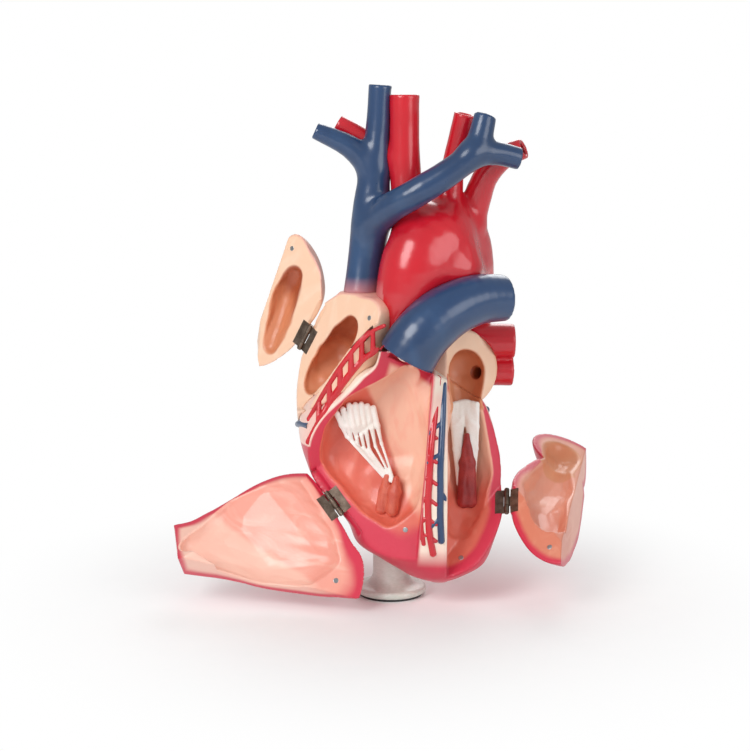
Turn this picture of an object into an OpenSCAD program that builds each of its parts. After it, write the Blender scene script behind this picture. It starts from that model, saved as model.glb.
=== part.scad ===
// Human heart anatomy model, about twice life size, on a round stand.
// Three hinged doors open the right atrium, the right ventricle and the left heart.
// X runs to the viewer's right, Y away from the viewer, Z up from the foot's underside.

/* [Doors] */
// Angle the right ventricle door stands open
rv_open = 158; // [0:1:158]
// Angle the left heart door stands open
lh_open = 166; // [0:1:166]
// Angle the right atrium door stands open
ra_open = 172; // [0:1:172]
// Clearance on each side of a door seam
seam = 0.6; // [0.4:0.1:1.0]

/* [Hinges] */
// Length of a hinge along its pin
hinge_len = 20; // [16:1:24]
// Outer radius of the hinge barrels
barrel_r = 2; // [1.8:0.1:2.2]
// Radius of the hinge pins
pin_r = 0.9; // [0.8:0.1:1.1]
// Running clearance round a pin in the turning barrel
pin_fit = 0.05; // [0.02:0.01:0.1]
// Thickness of a hinge leaf
leaf_t = 0.8; // [0.6:0.1:1.0]
// Width of a hinge leaf from the pin
leaf_w = 9; // [8:0.5:10]
// Shank radius of a hinge screw
screw_r = 0.9; // [0.7:0.1:1.0]
// Length of a hinge screw
screw_len = 3.5; // [3:0.5:4]
// Radius of a door magnet
magnet_r = 2; // [1.5:0.1:2.2]
// Depth of a door magnet
magnet_h = 3; // [2:0.5:4]

/* [Stand] */
// Radius of the foot
foot_r = 27; // [25:0.5:30]
// Radius of the stand's column
column_r = 13.5; // [12:0.5:14]
// Height of the column's seat under the heart
seat_z = 48; // [46:0.5:50]
// Thickness of the rubber pad
pad_t = 1.6; // [1:0.2:2]
// Radius of the steel weight
weight_r = 17; // [14:0.5:17.5]
// Height of the steel weight
weight_h = 5.4; // [5:0.2:5.6]
// Shank radius of the stand screw
bolt_r = 3; // [2.5:0.5:3]

/* [Vessels] */
// Wall thickness at an open vessel end
vessel_wall = 3; // [2:0.5:4]
// Depth of an open vessel end
vessel_depth = 12; // [8:1:16]
// Radius of a coronary artery
coronary_r = 2.2; // [1.8:0.1:2.6]
// Radius of a small coronary branch
small_r = 1.5; // [1.2:0.1:1.8]
// Radius of the coronary sinus
sinus_r = 3.2; // [2.6:0.2:3.6]

/* [Hidden] */

crimson = "#d6364c";
beige = "#f3c9ab";
artery_red = "#cf2130";
vein_blue = "#2b4468";
muscle_red = "#c8413f";
ivory = "#f4f0ea";
stand_white = "#d6dbd2";
pad_grey = "#3c3d3f";
steel = "#b9bcc0";

barrel_play = 0.6;   // room round the hinge barrels
bevel_r = 4.6;      // bevel of a door seam beyond its hinge
bevel_len = 20;
knuckle = 8;        // length of the turning barrel
knuckle_gap = 0.3;  // end gap of the turning barrel
screw_head_r = 1.7;
screw_inset = 3;    // from the leaf's free edge to the screws
screw_play = 0.1;
pin_head = 0.8;
pin_head_r = 1.6;
magnet_sink = 0.4;  // depth of a magnet below its cut face
rv_magnet = [32, 48];
lh_magnet = [34, -46];
ra_magnet = [50, -48];
column_play = 0.1;
rim_r = 3;          // rounding of the foot's rim
flange_t = 6;
cove_r = 9;
weight_gap = 0.4;
insert_r = 5;
insert_h = 14;
insert_lift = 2;    // from the seat to the insert
bolt_head_r = 5.5;
bolt_head_h = 3.2;
washer_r = 6.2;
washer_t = 1;
counterbore = 4.4;
valve_r = 12;       // bore of the pulmonary valve
valve_drop = 1.2;   // from the trunk's root to the foot of its valve
valve_bore = 6;     // reach of the valve's bore each way from the root
valve_play = 0.2;   // between the valve's ring and its bore
valve_h = 3;
cusp_middle = [0.8, 0, 2.4, 0.6];  // beads of one cusp: middle, belly, foot and edges
cusp_belly = [6, 0, 0.2, 0.6];
cusp_foot = [10.6, 0, 1, 0.6];
lh_slide = -12;     // left heart hinge along its pin, from the middle of its hinge line

slice = 0.02;       // thickness of the discs that a form is lofted through
facets = 32;        // sides of the heart's cross sections
vessel_sides = 20;  // sides of a large vessel's cross sections
branch_sides = 14;  // sides of a branch's cross sections
pocket_sides = 14;  // sides of a pocket for a small fitting
huge = 400;         // larger than the whole model

// Heart cross sections, each [height, x centre, x radius, y centre, y radius]
vent_rings = [
    [19, 36, 10, -30, 8], [23, 34.5, 20, -28, 15], [29.5, 35, 32.5, -25, 23],
    [36, 32, 41, -22, 29], [46, 26, 51, -19, 36], [60, 25, 57, -14, 43],
    [72, 21.5, 63.5, -11, 48], [90, 14.5, 71.5, -7, 53], [106, 10.5, 74.5, -5, 55.5],
    [120, 7, 75, -4, 56], [132, 4.8, 74, -3, 54], [145, 4, 70, -3, 50],
    [158, 4.5, 59, -5, 44], [170, 6, 46, -11, 37], [178, 10, 36, -20, 32]];
ra_rings = [
    [106, -38, 24, 4, 27], [120, -38.5, 30, 5, 32], [134, -38.5, 32, 5, 35],
    [150, -37, 34.5, 5, 38], [164, -35, 36, 4, 40], [180, -33, 36, 3, 41],
    [192, -31, 34.5, 0, 41], [204, -29, 33.5, -5, 40], [214, -27, 32, -8, 38],
    [224, -24.5, 28, -11, 34], [233, -20.5, 19.5, -13, 27]];
la_mid = [45, 16, 172];
la_radii = [36, 42, 32];

// Root of the pulmonary trunk on the heart
trunk_root = [11.5, -41, 189];
trunk_dir = unit([0.5, 0, 0.87]);
trunk_root_r = 21.5;

// Hinge lines, each [point at mid hinge, direction], and the cut faces that hold them
rv_hinge = [[-42.2, -28.1, 77.3], unit([0.583, -0.326, -0.744])];
rv_face = plane_normal(rv_hinge, [-4, -10, 198], 1);
lh_hinge = [[88, -0.5, 83.2], unit([0.048, 0.701, 0.711])];
lh_face = plane_normal(lh_hinge, [48, -40, 32], 1);
ra_hinge = [[-65, 11.5, 196.5], unit([0.44, -0.19, 0.877])];
ra_face = plane_normal(ra_hinge, [-27, -26.6, 203], -1);
// Upper cut face of the left heart door, through the left atrium
la_face_at = [88, 6, 92];
la_face = unit([0.5, -0.85, 0.17]);
// Edges of the strip over the septum, left and right
septum_left = [18, 0, 38];
septum_left_out = unit([-1, 0, 0.082]);
septum_right = [42, 0, 100];
septum_right_out = [1, 0, 0];
// Edges of the groove strip, towards the right ventricle door and the right atrium door
groove_rv = [-10, -45, 190];
groove_rv_out = unit([0.28, -0.87, -0.4]);
groove_ra = [-9, -31, 210];
groove_ra_out = unit([-0.62, 0.51, 0.60]);
// Lower cut face of the right atrium door
ra_foot_at = [-64, 0, 147];
ra_foot = unit([-0.35, 0, 0.94]);

// Chambers, each a list of [x, y, z, radius]
rv_outflow = [[12, -34, 170, 11], [2, -31, 158, 15], [9, -36, 118, 19]];
rv_inflow = [[2, -31, 158, 15], [9, -36, 116, 19.5], [-26, -32, 152, 9], [-38, -26, 132, 11],
    [-40, -19, 112, 12], [-18, -30, 86, 12], [-2, -38, 74, 11], [10, -40, 84, 11]];
lv_high = [[57, 0, 142, 12], [57, -4, 120, 17], [59, -6, 97, 17.5]];
lv_low = [[59, -6, 97, 17.5], [57, -14, 76, 15.5], [52, -24, 60, 11]];
la_room = [[54, 10, 171, 16], [55, 4, 150, 12]];
ra_room = [[-30, -19, 207, 8.5], [-44, -10, 186, 10], [-59, -2, 163, 7.5], [-40, 4, 184, 13],
    [-42, -22, 190, 8]];

// Vessel routes, each a list of [x, y, z, radius]
trunk_route = [[11.5, -41, 189, 21.5], [22, -41, 206, 21], [40, -34, 221, 20], [62, -22, 229, 18.5],
    [83, -11, 229, 17]];
right_lung_route = [[48, -8, 226, 12], [42, 16, 222, 12], [14, 36, 220, 12], [-30, 42, 220, 12]];
aorta_route = [[10, -10, 176, 21], [11, -10, 205, 22.5], [13, -13, 235, 24], [20, -10, 262, 24.5],
    [36, 4, 279, 22], [51, 22, 274, 20.5], [58, 36, 250, 20], [59, 44, 215, 18.5],
    [59, 50, 180, 17]];
arch_belly = [[30, -10, 252, 21], [40, -2, 266, 22], [48, -4, 250, 20], [54, 16, 240, 18]];
brachio_route = [[14, -4, 280, 13], [11, 0, 310, 11.5], [9.5, 2, 345, 11], [9.5, 2, 377, 11]];
right_arm_artery = [[6, 4, 326, 8], [-16, 11, 342, 7.5], [-40, 12, 356, 6.5]];
carotid_route = [[42, 6, 288, 10], [45, 8, 320, 8.5], [50, 6, 345, 8], [54, 4, 363, 8]];
left_arm_artery = [[60, 18, 285, 11], [69, 12, 315, 9.5], [82, 4, 331, 8.5], [97, -2, 338, 7.5]];
cava_route = [[-22.5, 0, 231, 13], [-18.5, 4, 258, 13.5], [-15, 3, 289, 14], [-12.5, 3, 320, 11.5],
    [-10, 4, 350, 9], [-8, 4, 384, 8.5]];
right_arm_vein = [[-13, 3, 322, 10], [-30, 1, 339, 8.5], [-56, 0, 351, 6]];
left_head_vein = [[-14, 0, 282, 12], [0, -17, 296, 11], [18, -26, 307, 10.5], [42, -25, 322, 10],
    [60, -20, 337, 9.5], [68, -14, 362, 8]];
left_arm_vein = [[58, -21, 335, 9.5], [76, -16, 335, 8.5], [93, -12, 331, 8]];
lower_cava = [[-38, 24, 134, 15], [-40, 32, 112, 15], [-41, 42, 84, 14]];
left_lung_veins = [[[52, 25, 190, 14], [74, 28, 191, 13.5], [94, 29, 191, 13]],
    [[52, 26, 168, 12], [74, 30, 168, 11.5], [93, 32, 167, 11]]];
right_lung_veins = [[[30, 46, 184, 11], [8, 56, 186, 11], [-16, 62, 187, 10.5]],
    [[30, 46, 163, 11], [8, 58, 161, 10.5], [-14, 64, 159, 10]]];
aorta_branches = [brachio_route, right_arm_artery, carotid_route, left_arm_artery];
aorta_ends = [aorta_route, brachio_route, right_arm_artery, carotid_route, left_arm_artery];
cava_branches = [right_arm_vein, left_head_vein, left_arm_vein];
cava_ends = [cava_route, right_arm_vein, left_head_vein, left_arm_vein];

// Valves: top and lower edges of the leaflets, each [x, y, z, radius], then their cords
tricuspid_tops = [[-40, -26, 145, 2.2], [-31, -25, 151, 2.2], [-22, -21, 151, 2.2], [-13, -19, 148, 2.2]];
tricuspid_feet = [[-24, -17, 113, 1.6], [-18, -17, 116, 1.6], [-12, -18, 118, 1.6], [-6, -19, 120, 1.6]];
tricuspid_cords = [
    [[-24, -17, 113, 1.4], [-4, -25, 95, 1]], [[-16, -17, 116, 1.4], [-2, -25, 96, 1]],
    [[-11, -18, 118, 1.4], [3, -28, 94, 1]], [[-6, -19, 120, 1.4], [4, -28, 94, 1]]];
mitral_tops = [[46, 5, 146, 2.2], [52, 8, 148, 2.2], [59, 9, 148, 2.2], [65, 6, 146, 2.2]];
mitral_feet = [[48, 3, 108, 1.8], [53, 5, 128, 1.6], [60, 5, 128, 1.6], [65, 4, 108, 1.8]];
mitral_cords = [
    [[48, 3, 110, 1.8], [51, 1, 84, 1.2]], [[53, 5, 128, 1.4], [52, 1, 86, 1]],
    [[60, 5, 128, 1.4], [62, 2, 86, 1]], [[65, 4, 110, 1.8], [63, 1, 84, 1.2]]];
// Papillary muscles under the cords
rv_muscles = [[[-3, -25, 97, 2.4], [-4, -24, 86, 4.5]], [[-4, -24, 86, 4.5], [-7, -24, 72, 5]],
    [[4, -28, 96, 2.4], [3, -29, 86, 4.5]], [[3, -29, 86, 4.5], [1, -30, 73, 5]]];
lv_muscles = [[[56.5, 2, 122, 1.5], [55.5, 2, 100, 4.5]], [[55.5, 2, 100, 4.5], [55, 0, 72, 5]],
    [[58.5, 2, 122, 1.5], [60, 2, 100, 4.5]], [[60, 2, 100, 4.5], [60.5, 0, 72, 5]]];

// Coronary vessels: heights along the groove by x, then [x, z, radius] on the front and back
groove_low_z = [[-64, 118], [-60, 126], [-48, 150], [-36, 168], [-24, 184], [-12, 194], [-4, 198]];
groove_high_z = [[-64, 136], [-60, 142], [-48, 164], [-36, 183], [-24, 199], [-12, 210], [-4, 214]];
groove_low = [for (x = [-5 : -8 : -61]) with_r(on_groove(x, lookup(x, groove_low_z)), coronary_r)];
groove_high = [for (x = [-5 : -8 : -61]) with_r(on_groove(x, lookup(x, groove_high_z)), small_r)];
front_artery = [for (p = [[34, 174], [33, 160], [31, 142], [29, 124], [28, 104], [27, 84], [28, 64],
    [31, 46]]) with_r(on_front(p[0], p[1]), coronary_r)];
front_vein = [for (p = [[39, 168], [38, 152], [37, 134], [36, 114], [36, 94], [36, 74], [37, 56]])
    with_r(on_front(p[0], p[1]), coronary_r)];
margin_vein = [for (p = [[38, 139], [20, 134], [0, 131], [-25, 130], [-50, 131], [-72, 133]])
    with_r(round_atrium(p[0], p[1]), coronary_r)];
back_vein = [for (p = [[72, 140], [56, 143], [36, 144], [14, 141], [-8, 136]])
    with_r(on_back(p[0], p[1]), sinus_r)];
back_artery = [for (p = [[10, 130], [16, 112], [21, 92], [26, 72], [31, 54]])
    with_r(on_back(p[0], p[1]), coronary_r)];
door_vein = [for (p = [[48, 150], [60, 149], [70, 146]]) with_r(on_front(p[0], p[1]), sinus_r)];

function unit(v) = v / norm(v);
function spot(p) = [p[0], p[1], p[2]];
// Normal of the plane through a hinge line and a point, on the given side
function plane_normal(hinge, point, side) = side * unit(cross(hinge[1], point - hinge[0]));
// Point of a smooth curve between b and c
function curve_at(a, b, c, d, t) = 0.5 * (2 * b + (c - a) * t + (2 * a - 5 * b + 4 * c - d) * t * t
    + (3 * b - a - 3 * c + d) * t * t * t);
function smooth(p, n) = [
    for (i = [0 : len(p) - 2], k = [0 : n - 1])
        curve_at(p[max(i - 1, 0)], p[i], p[i + 1], p[min(i + 2, len(p) - 1)], k / n),
    p[len(p) - 1]];
function heading(p, i) = unit(spot(p[min(i + 1, len(p) - 1)]) - spot(p[max(i - 1, 0)]));
// Heart cross section at a height, as [x centre, x radius, y centre, y radius]
function section(rings, z) = [for (k = [1 : 4]) lookup(z, [for (r = rings) [r[0], r[k]]])];
// Depth factor of an elliptic section at x
function bulge(s, x) = sqrt(max(0.02, 1 - pow((x - s[0]) / s[1], 2)));
function on_front(x, z) = let (s = section(vent_rings, z)) [x, s[2] - s[3] * bulge(s, x), z];
function on_back(x, z) = let (s = section(vent_rings, z)) [x, s[2] + s[3] * bulge(s, x), z];
function on_atrium(x, z) = let (s = section(ra_rings, z)) [x, s[2] - s[3] * bulge(s, x), z];
function round_atrium(angle, z) = let (s = section(ra_rings, z))
    [s[0] - s[1] * cos(angle), s[2] - s[3] * sin(angle), z];
// Foremost of the two surfaces in the groove
function on_groove(x, z) = let (a = on_front(x, z), b = on_atrium(x, z)) a[1] < b[1] ? a : b;
function with_r(p, r) = [p[0], p[1], p[2], r];

// Puts children at a point with their Z along a direction
module aim(at, dir) translate(at) rotate([0, acos(dir[2]), atan2(dir[1], dir[0])]) children();
module disc(r, sides) cylinder(h = slice, r = r, center = true, $fn = sides);
module ring(r) translate([r[1], r[3], r[0]]) scale([r[2], r[4], 1]) disc(1, facets);
module loft(rings) for (i = [0 : len(rings) - 2]) hull() {
    ring(rings[i]);
    ring(rings[i + 1]);
}
// Round tube through stations of [x, y, z, radius], its rings kept from twisting
function across(v, h) = unit(v - (v * h) * h);
module tube(route, steps = 2, sides = vessel_sides) {
    s = smooth(route, steps);
    n = len(s);
    h = [for (i = [0 : n - 1]) heading(s, i)];
    start = abs(h[0][2]) < 0.8 ? [0, 0, 1] : [1, 0, 0];
    u = [for (i = 0, v = across(start, h[0]); i < n; i = i + 1, v = i < n ? across(v, h[i]) : v) v];
    rings = [for (i = [0 : n - 1], k = [0 : sides - 1]) let (a = 360 * k / sides)
        spot(s[i]) + s[i][3] * (cos(a) * u[i] + sin(a) * cross(h[i], u[i]))];
    walls = [for (i = [0 : n - 2], k = [0 : sides - 1])
        let (a = i * sides + k, b = i * sides + (k + 1) % sides)
        each [[a, a + sides, b], [b, a + sides, b + sides]]];
    first = [for (k = [0 : sides - 1]) k];
    last = [for (k = [sides - 1 : -1 : 0]) (n - 1) * sides + k];
    polyhedron(points = rings, faces = concat(walls, [first, last]));
}
// Blind hole in the last end of a route
module open_end(route) {
    n = len(route) - 1;
    dir = unit(spot(route[n]) - spot(route[n - 1]));
    r = route[n][3] - vessel_wall;
    aim(spot(route[n]) - dir * vessel_depth, dir) cylinder(h = 2 * vessel_depth, r = r, $fn = vessel_sides);
}
module beads(list, sides = 24) hull() for (b = list) translate(spot(b)) sphere(r = b[3], $fn = sides);
// Everything on the outer side of a plane
module beyond(at, normal) aim(at, normal) translate([-huge / 2, -huge / 2, 0]) cube(huge);

module vent_form() {
    loft(vent_rings);
    hull() {
        ring([150, 10, 34, -26, 31]);
        aim(trunk_root, trunk_dir) disc(trunk_root_r, facets);
    }
}
module ra_form() loft(ra_rings);
module la_form() translate(la_mid) scale(la_radii) sphere(r = 1, $fn = 30);
module rv_chamber() {
    beads(rv_outflow);
    beads(rv_inflow);
}
module lv_chamber() {
    beads(lv_high);
    beads(lv_low);
}
module la_chamber() beads(la_room);
module ra_chamber() beads(ra_room);
module trunk_bore() aim(trunk_root, trunk_dir)
    cylinder(h = 2 * valve_bore, r = valve_r, center = true, $fn = facets);

// Door spaces; a positive gap draws every face in, a negative one pushes it out
module rv_space(gap) intersection() {
    beyond(rv_hinge[0] + gap * rv_face, rv_face);
    beyond(septum_left + gap * septum_left_out, septum_left_out);
    beyond(groove_rv + gap * groove_rv_out, groove_rv_out);
    beyond(trunk_root - (1.5 + gap) * trunk_dir, -trunk_dir);
}
module lh_space(gap) intersection() {
    beyond(lh_hinge[0] + gap * lh_face, lh_face);
    beyond(la_face_at + gap * la_face, la_face);
    beyond(septum_right + gap * septum_right_out, septum_right_out);
}
module ra_space(gap) intersection() {
    beyond(ra_hinge[0] + gap * ra_face, ra_face);
    beyond(groove_ra + gap * groove_ra_out, groove_ra_out);
    beyond(ra_foot_at + gap * ra_foot, ra_foot);
}

// Turns children about a hinge line
module swing(hinge, angle) translate(hinge[0]) rotate(a = angle, v = hinge[1]) translate(-hinge[0])
    children();
module rv_swing() swing(rv_hinge, rv_open) children();
module lh_swing() swing(lh_hinge, lh_open) children();
module ra_swing() swing(ra_hinge, -ra_open) children();

// Local axes at a hinge: X across the cut face, Y towards the door, Z along the pin
module at_hinge(hinge, face, side) let (z = side * hinge[1], x = cross(face, z), p = hinge[0])
    multmatrix([[x[0], face[0], z[0], p[0]], [x[1], face[1], z[1], p[1]], [x[2], face[2], z[2], p[2]]])
    children();
module at_rv() at_hinge(rv_hinge, rv_face, 1) children();
module at_lh() at_hinge(lh_hinge, lh_face, 1) translate([0, 0, lh_slide]) children();
module at_ra() at_hinge(ra_hinge, ra_face, -1) children();

// Leaf plate on one side of the seam: side -1 for the heart, 1 for the door
module leaf_plate(side) translate([0, side > 0 ? seam : -seam - leaf_t, -hinge_len / 2])
    cube([leaf_w, leaf_t, hinge_len]);
module barrel(length, r = barrel_r, sides = 48) cylinder(h = length, r = r, center = true, $fn = sides);
module screw_places() for (z = [-1, 1]) translate([leaf_w - screw_inset, 0, z * hinge_len / 4]) children();
// One screw through a leaf, its flat head flush with the leaf
module screw(side, play = 0, sides = 32) rotate([side > 0 ? -90 : 90, 0, 0]) translate([0, 0, seam]) {
    cylinder(h = leaf_t, r1 = screw_head_r + play, r2 = screw_r + play, $fn = sides);
    cylinder(h = screw_len + play, r = screw_r + play, $fn = sides);
}
module heart_leaf() difference() {
    union() {
        leaf_plate(-1);
        barrel(hinge_len);
    }
    barrel(knuckle + 2 * knuckle_gap, barrel_r + leaf_t);
    barrel(2 * hinge_len, pin_r);
    screw_places() screw(-1);
}
module door_leaf() difference() {
    union() {
        difference() {
            leaf_plate(1);
            for (z = [-1, 1]) translate([0, 0, z * hinge_len / 2])
                barrel(hinge_len - knuckle, barrel_r + leaf_t);
        }
        barrel(knuckle);
    }
    barrel(2 * hinge_len, pin_r + pin_fit);
    screw_places() screw(1);
}
module hinge_pin() {
    barrel(hinge_len, pin_r);
    for (z = [-1, 1]) translate([0, 0, z * (hinge_len + pin_head) / 2]) barrel(pin_head, pin_head_r);
}
// Room cut from the heart or a door for its leaf, screws and barrels, with the bevels beside them
module hinge_room(side) {
    leaf_plate(side);
    barrel(hinge_len + 2 * pin_head + 1, barrel_r + barrel_play, pocket_sides);
    screw_places() screw(side, screw_play, pocket_sides);
    for (z = [-1, 1]) translate([0, 0, z * (hinge_len + bevel_len) / 2])
        barrel(bevel_len, bevel_r, pocket_sides);
}
// Turns a magnet's axis into the heart (side -1) or into the door (side 1)
module sunk(place, side, depth) translate([place[0], side * (seam + depth), place[1]])
    rotate([side > 0 ? -90 : 90, 0, 0]) children();
module magnet(place, side) sunk(place, side, magnet_sink) cylinder(h = magnet_h, r = magnet_r, $fn = 32);
module magnet_room(place, side) sunk(place, side, -1)
    cylinder(h = magnet_h + magnet_sink + 1, r = magnet_r + screw_play, $fn = pocket_sides);

// The stand, on the Z axis
module foot_pad() color(pad_grey) cylinder(h = pad_t, r = foot_r - rim_r, $fn = 96);
module stand_foot() color(stand_white) difference() {
    union() {
        rotate_extrude($fn = 96) translate([0, pad_t]) difference() {
            union() {
                square([foot_r - rim_r, flange_t]);
                translate([foot_r - rim_r, flange_t / 2]) circle(r = rim_r, $fn = 32);
                square([column_r + cove_r, flange_t + cove_r]);
            }
            translate([column_r + cove_r, flange_t + cove_r]) circle(r = cove_r, $fn = 48);
        }
        translate([0, 0, pad_t]) cylinder(h = seat_z - pad_t, r = column_r, $fn = 96);
    }
    translate([0, 0, pad_t - 1]) cylinder(h = weight_h + weight_gap + 1, r = weight_r, $fn = 96);
    cylinder(h = seat_z + 1, r = bolt_r + column_play, $fn = 32);
}
module stand_weight() color(steel) translate([0, 0, pad_t + weight_gap]) difference() {
    cylinder(h = weight_h, r = weight_r, $fn = 96);
    translate([0, 0, -1]) cylinder(h = counterbore + 1, r = washer_r + 2 * column_play, $fn = 48);
    cylinder(h = weight_h + 1, r = bolt_r + column_play, $fn = 32);
}
washer_z = pad_t + weight_gap + counterbore - washer_t;
module stand_washer() color(steel) translate([0, 0, washer_z]) difference() {
    cylinder(h = washer_t, r = washer_r, $fn = 48);
    translate([0, 0, -1]) cylinder(h = washer_t + 2, r = bolt_r + column_play, $fn = 32);
}
module stand_screw() color(steel) difference() {
    union() {
        translate([0, 0, washer_z - bolt_head_h]) cylinder(h = bolt_head_h, r = bolt_head_r, $fn = 48);
        translate([0, 0, washer_z]) cylinder(h = seat_z + insert_h - washer_z, r = bolt_r, $fn = 32);
    }
    translate([0, 0, washer_z - bolt_head_h - 1]) cylinder(h = 3, r = bolt_r, $fn = 6);
}
module threaded_insert() color(steel) translate([0, 0, seat_z + insert_lift]) difference() {
    cylinder(h = insert_h, r = insert_r, $fn = 48);
    translate([0, 0, -1]) cylinder(h = insert_h + 2, r = bolt_r, $fn = 32);
}

// The heart's fixed body
module ventricles() color(crimson) difference() {
    vent_form();
    rv_space(-seam);
    lh_space(-seam);
    rv_chamber();
    lv_chamber();
    la_chamber();
    trunk_bore();
    cylinder(h = seat_z, r = column_r + column_play, $fn = facets);
    cylinder(h = seat_z + insert_lift + insert_h, r = insert_r + column_play, $fn = facets);
    at_rv() hinge_room(-1);
    at_lh() hinge_room(-1);
    at_rv() magnet_room(rv_magnet, -1);
    at_lh() magnet_room(lh_magnet, -1);
}
module right_atrium() color(beige) difference() {
    ra_form();
    vent_form();
    ra_space(-seam);
    rv_space(-seam);
    ra_chamber();
    at_ra() hinge_room(-1);
    at_ra() magnet_room(ra_magnet, -1);
}
module left_atrium() color(beige) difference() {
    la_form();
    vent_form();
    lh_space(-seam);
    la_chamber();
    tube(aorta_route);
}
module pulmonary_trunk() color(vein_blue) difference() {
    tube(trunk_route);
    vent_form();
    trunk_bore();
    open_end(trunk_route);
}
module right_pulmonary_artery() color(vein_blue) difference() {
    tube(right_lung_route);
    vent_form();
    tube(trunk_route);
    tube(aorta_route);
    beads(arch_belly);
    open_end(right_lung_route);
}
module aorta() color(artery_red) difference() {
    union() {
        tube(aorta_route);
        beads(arch_belly);
        for (route = aorta_branches) tube(route, 2, branch_sides);
    }
    vent_form();
    ra_form();
    tube(trunk_route);
    trunk_bore();
    for (route = aorta_ends) open_end(route);
}
module superior_vena_cava() color(vein_blue) difference() {
    union() {
        tube(cava_route);
        for (route = cava_branches) tube(route, 2, branch_sides);
    }
    ra_form();
    tube(aorta_route);
    for (route = aorta_branches) tube(route, 2, branch_sides);
    for (route = cava_ends) open_end(route);
}
module inferior_vena_cava() color(vein_blue) difference() {
    tube(lower_cava);
    vent_form();
    ra_form();
    open_end(lower_cava);
}
module left_pulmonary_veins() color(artery_red) difference() {
    for (route = left_lung_veins) tube(route, 2, branch_sides);
    vent_form();
    la_form();
    tube(aorta_route);
    for (route = left_lung_veins) open_end(route);
}
module right_pulmonary_veins() color(artery_red) difference() {
    for (route = right_lung_veins) tube(route, 2, branch_sides);
    la_form();
    ra_form();
    for (route = right_lung_veins) open_end(route);
}

function cusp_edge(side) = [10.6 * cos(58), 10.6 * sin(58) * side, 2.4, 0.6];
// Valves and papillary muscles, kept behind the cut faces
module behind_rv() difference() {
    intersection() {
        rv_chamber();
        children();
    }
    rv_space(-seam - 0.4);
}
module behind_lh() difference() {
    intersection() {
        union() {
            lv_chamber();
            la_chamber();
        }
        children();
    }
    lh_space(-seam - 0.4);
}
module tricuspid_valve() color(ivory) behind_rv() {
    for (i = [0 : len(tricuspid_tops) - 2]) beads([tricuspid_tops[i], tricuspid_tops[i + 1],
        tricuspid_feet[i], tricuspid_feet[i + 1]], 8);
    for (c = tricuspid_cords) beads(c, 8);
}
module mitral_valve() color(ivory) behind_lh() {
    for (i = [0 : len(mitral_tops) - 2]) beads([mitral_tops[i], mitral_tops[i + 1],
        mitral_feet[i], mitral_feet[i + 1]], 8);
    for (c = mitral_cords) beads(c, 8);
}
module pulmonary_valve() color(ivory) aim(trunk_root, trunk_dir) translate([0, 0, -valve_drop]) {
    difference() {
        cylinder(h = valve_h, r = valve_r - valve_play, $fn = 48);
        translate([0, 0, -1]) cylinder(h = valve_h + 2, r = valve_r - 1.4, $fn = 48);
    }
    for (k = [0 : 2]) rotate(120 * k) {
        for (side = [-1, 1]) beads([cusp_edge(side), cusp_middle, cusp_belly], 8);
        for (side = [-1, 1]) beads([cusp_edge(side), cusp_foot, cusp_belly], 8);
    }
}
module right_papillary_muscles() color(muscle_red) difference() {
    behind_rv() for (m = rv_muscles) beads(m, 12);
    tricuspid_valve();
}
module left_papillary_muscles() color(muscle_red) difference() {
    behind_lh() for (m = lv_muscles) beads(m, 12);
    mitral_valve();
}

// Coronary vessels, half sunk in the heart and clear of the doors
module on_heart() difference() {
    children();
    vent_form();
    ra_form();
    la_form();
    rv_space(-2 * seam);
    lh_space(-2 * seam);
    ra_space(-2 * seam);
    tube(trunk_route);
    tube(aorta_route);
}
module right_coronary_artery() color(artery_red) on_heart() {
    tube(groove_low, 1, 10);
    tube(groove_high, 1, 10);
    for (i = [1 : len(groove_low) - 2]) tube([groove_low[i], groove_high[i]], 1, 8);
}
module anterior_interventricular_artery() color(artery_red) on_heart() tube(front_artery, 1, 12);
module great_cardiac_vein() color(vein_blue) on_heart() tube(front_vein, 1, 12);
module small_cardiac_vein() color(vein_blue) on_heart() tube(margin_vein, 2, 10);
module coronary_sinus() color(vein_blue) difference() {
    on_heart() tube(back_vein, 2, 14);
    tube(lower_cava);
}
module posterior_interventricular_artery() color(artery_red) difference() {
    on_heart() tube(back_artery, 1, 12);
    tube(back_vein, 2, 14);
    tube(lower_cava);
}

// Hinge parts and magnets on the heart
module right_ventricle_hinge_leaf() color(steel) at_rv() heart_leaf();
module right_ventricle_hinge_pin() color(steel) at_rv() hinge_pin();
module left_heart_hinge_leaf() color(steel) at_lh() heart_leaf();
module left_heart_hinge_pin() color(steel) at_lh() hinge_pin();
module right_atrium_hinge_leaf() color(steel) at_ra() heart_leaf();
module right_atrium_hinge_pin() color(steel) at_ra() hinge_pin();
module hinge_screws() color(steel) {
    at_rv() screw_places() screw(-1);
    at_lh() screw_places() screw(-1);
    at_ra() screw_places() screw(-1);
}
module seam_magnets() color(steel) {
    at_rv() magnet(rv_magnet, -1);
    at_lh() magnet(lh_magnet, -1);
    at_ra() magnet(ra_magnet, -1);
}

// The doors, each drawn shut and swung open
module right_ventricle_door() color(crimson) rv_swing() difference() {
    intersection() {
        vent_form();
        rv_space(seam);
    }
    rv_chamber();
    at_rv() hinge_room(1);
    at_rv() magnet_room(rv_magnet, 1);
}
module right_ventricle_door_leaf() color(steel) rv_swing() at_rv() door_leaf();
module right_ventricle_door_screws() color(steel) rv_swing() at_rv() screw_places() screw(1);
module right_ventricle_door_magnet() color(steel) rv_swing() at_rv() magnet(rv_magnet, 1);
module left_heart_door() color(crimson) lh_swing() difference() {
    intersection() {
        union() {
            vent_form();
            la_form();
        }
        lh_space(seam);
    }
    lv_chamber();
    la_chamber();
    at_lh() hinge_room(1);
    at_lh() magnet_room(lh_magnet, 1);
}
module left_heart_door_leaf() color(steel) lh_swing() at_lh() door_leaf();
module left_heart_door_screws() color(steel) lh_swing() at_lh() screw_places() screw(1);
module left_heart_door_magnet() color(steel) lh_swing() at_lh() magnet(lh_magnet, 1);
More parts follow.
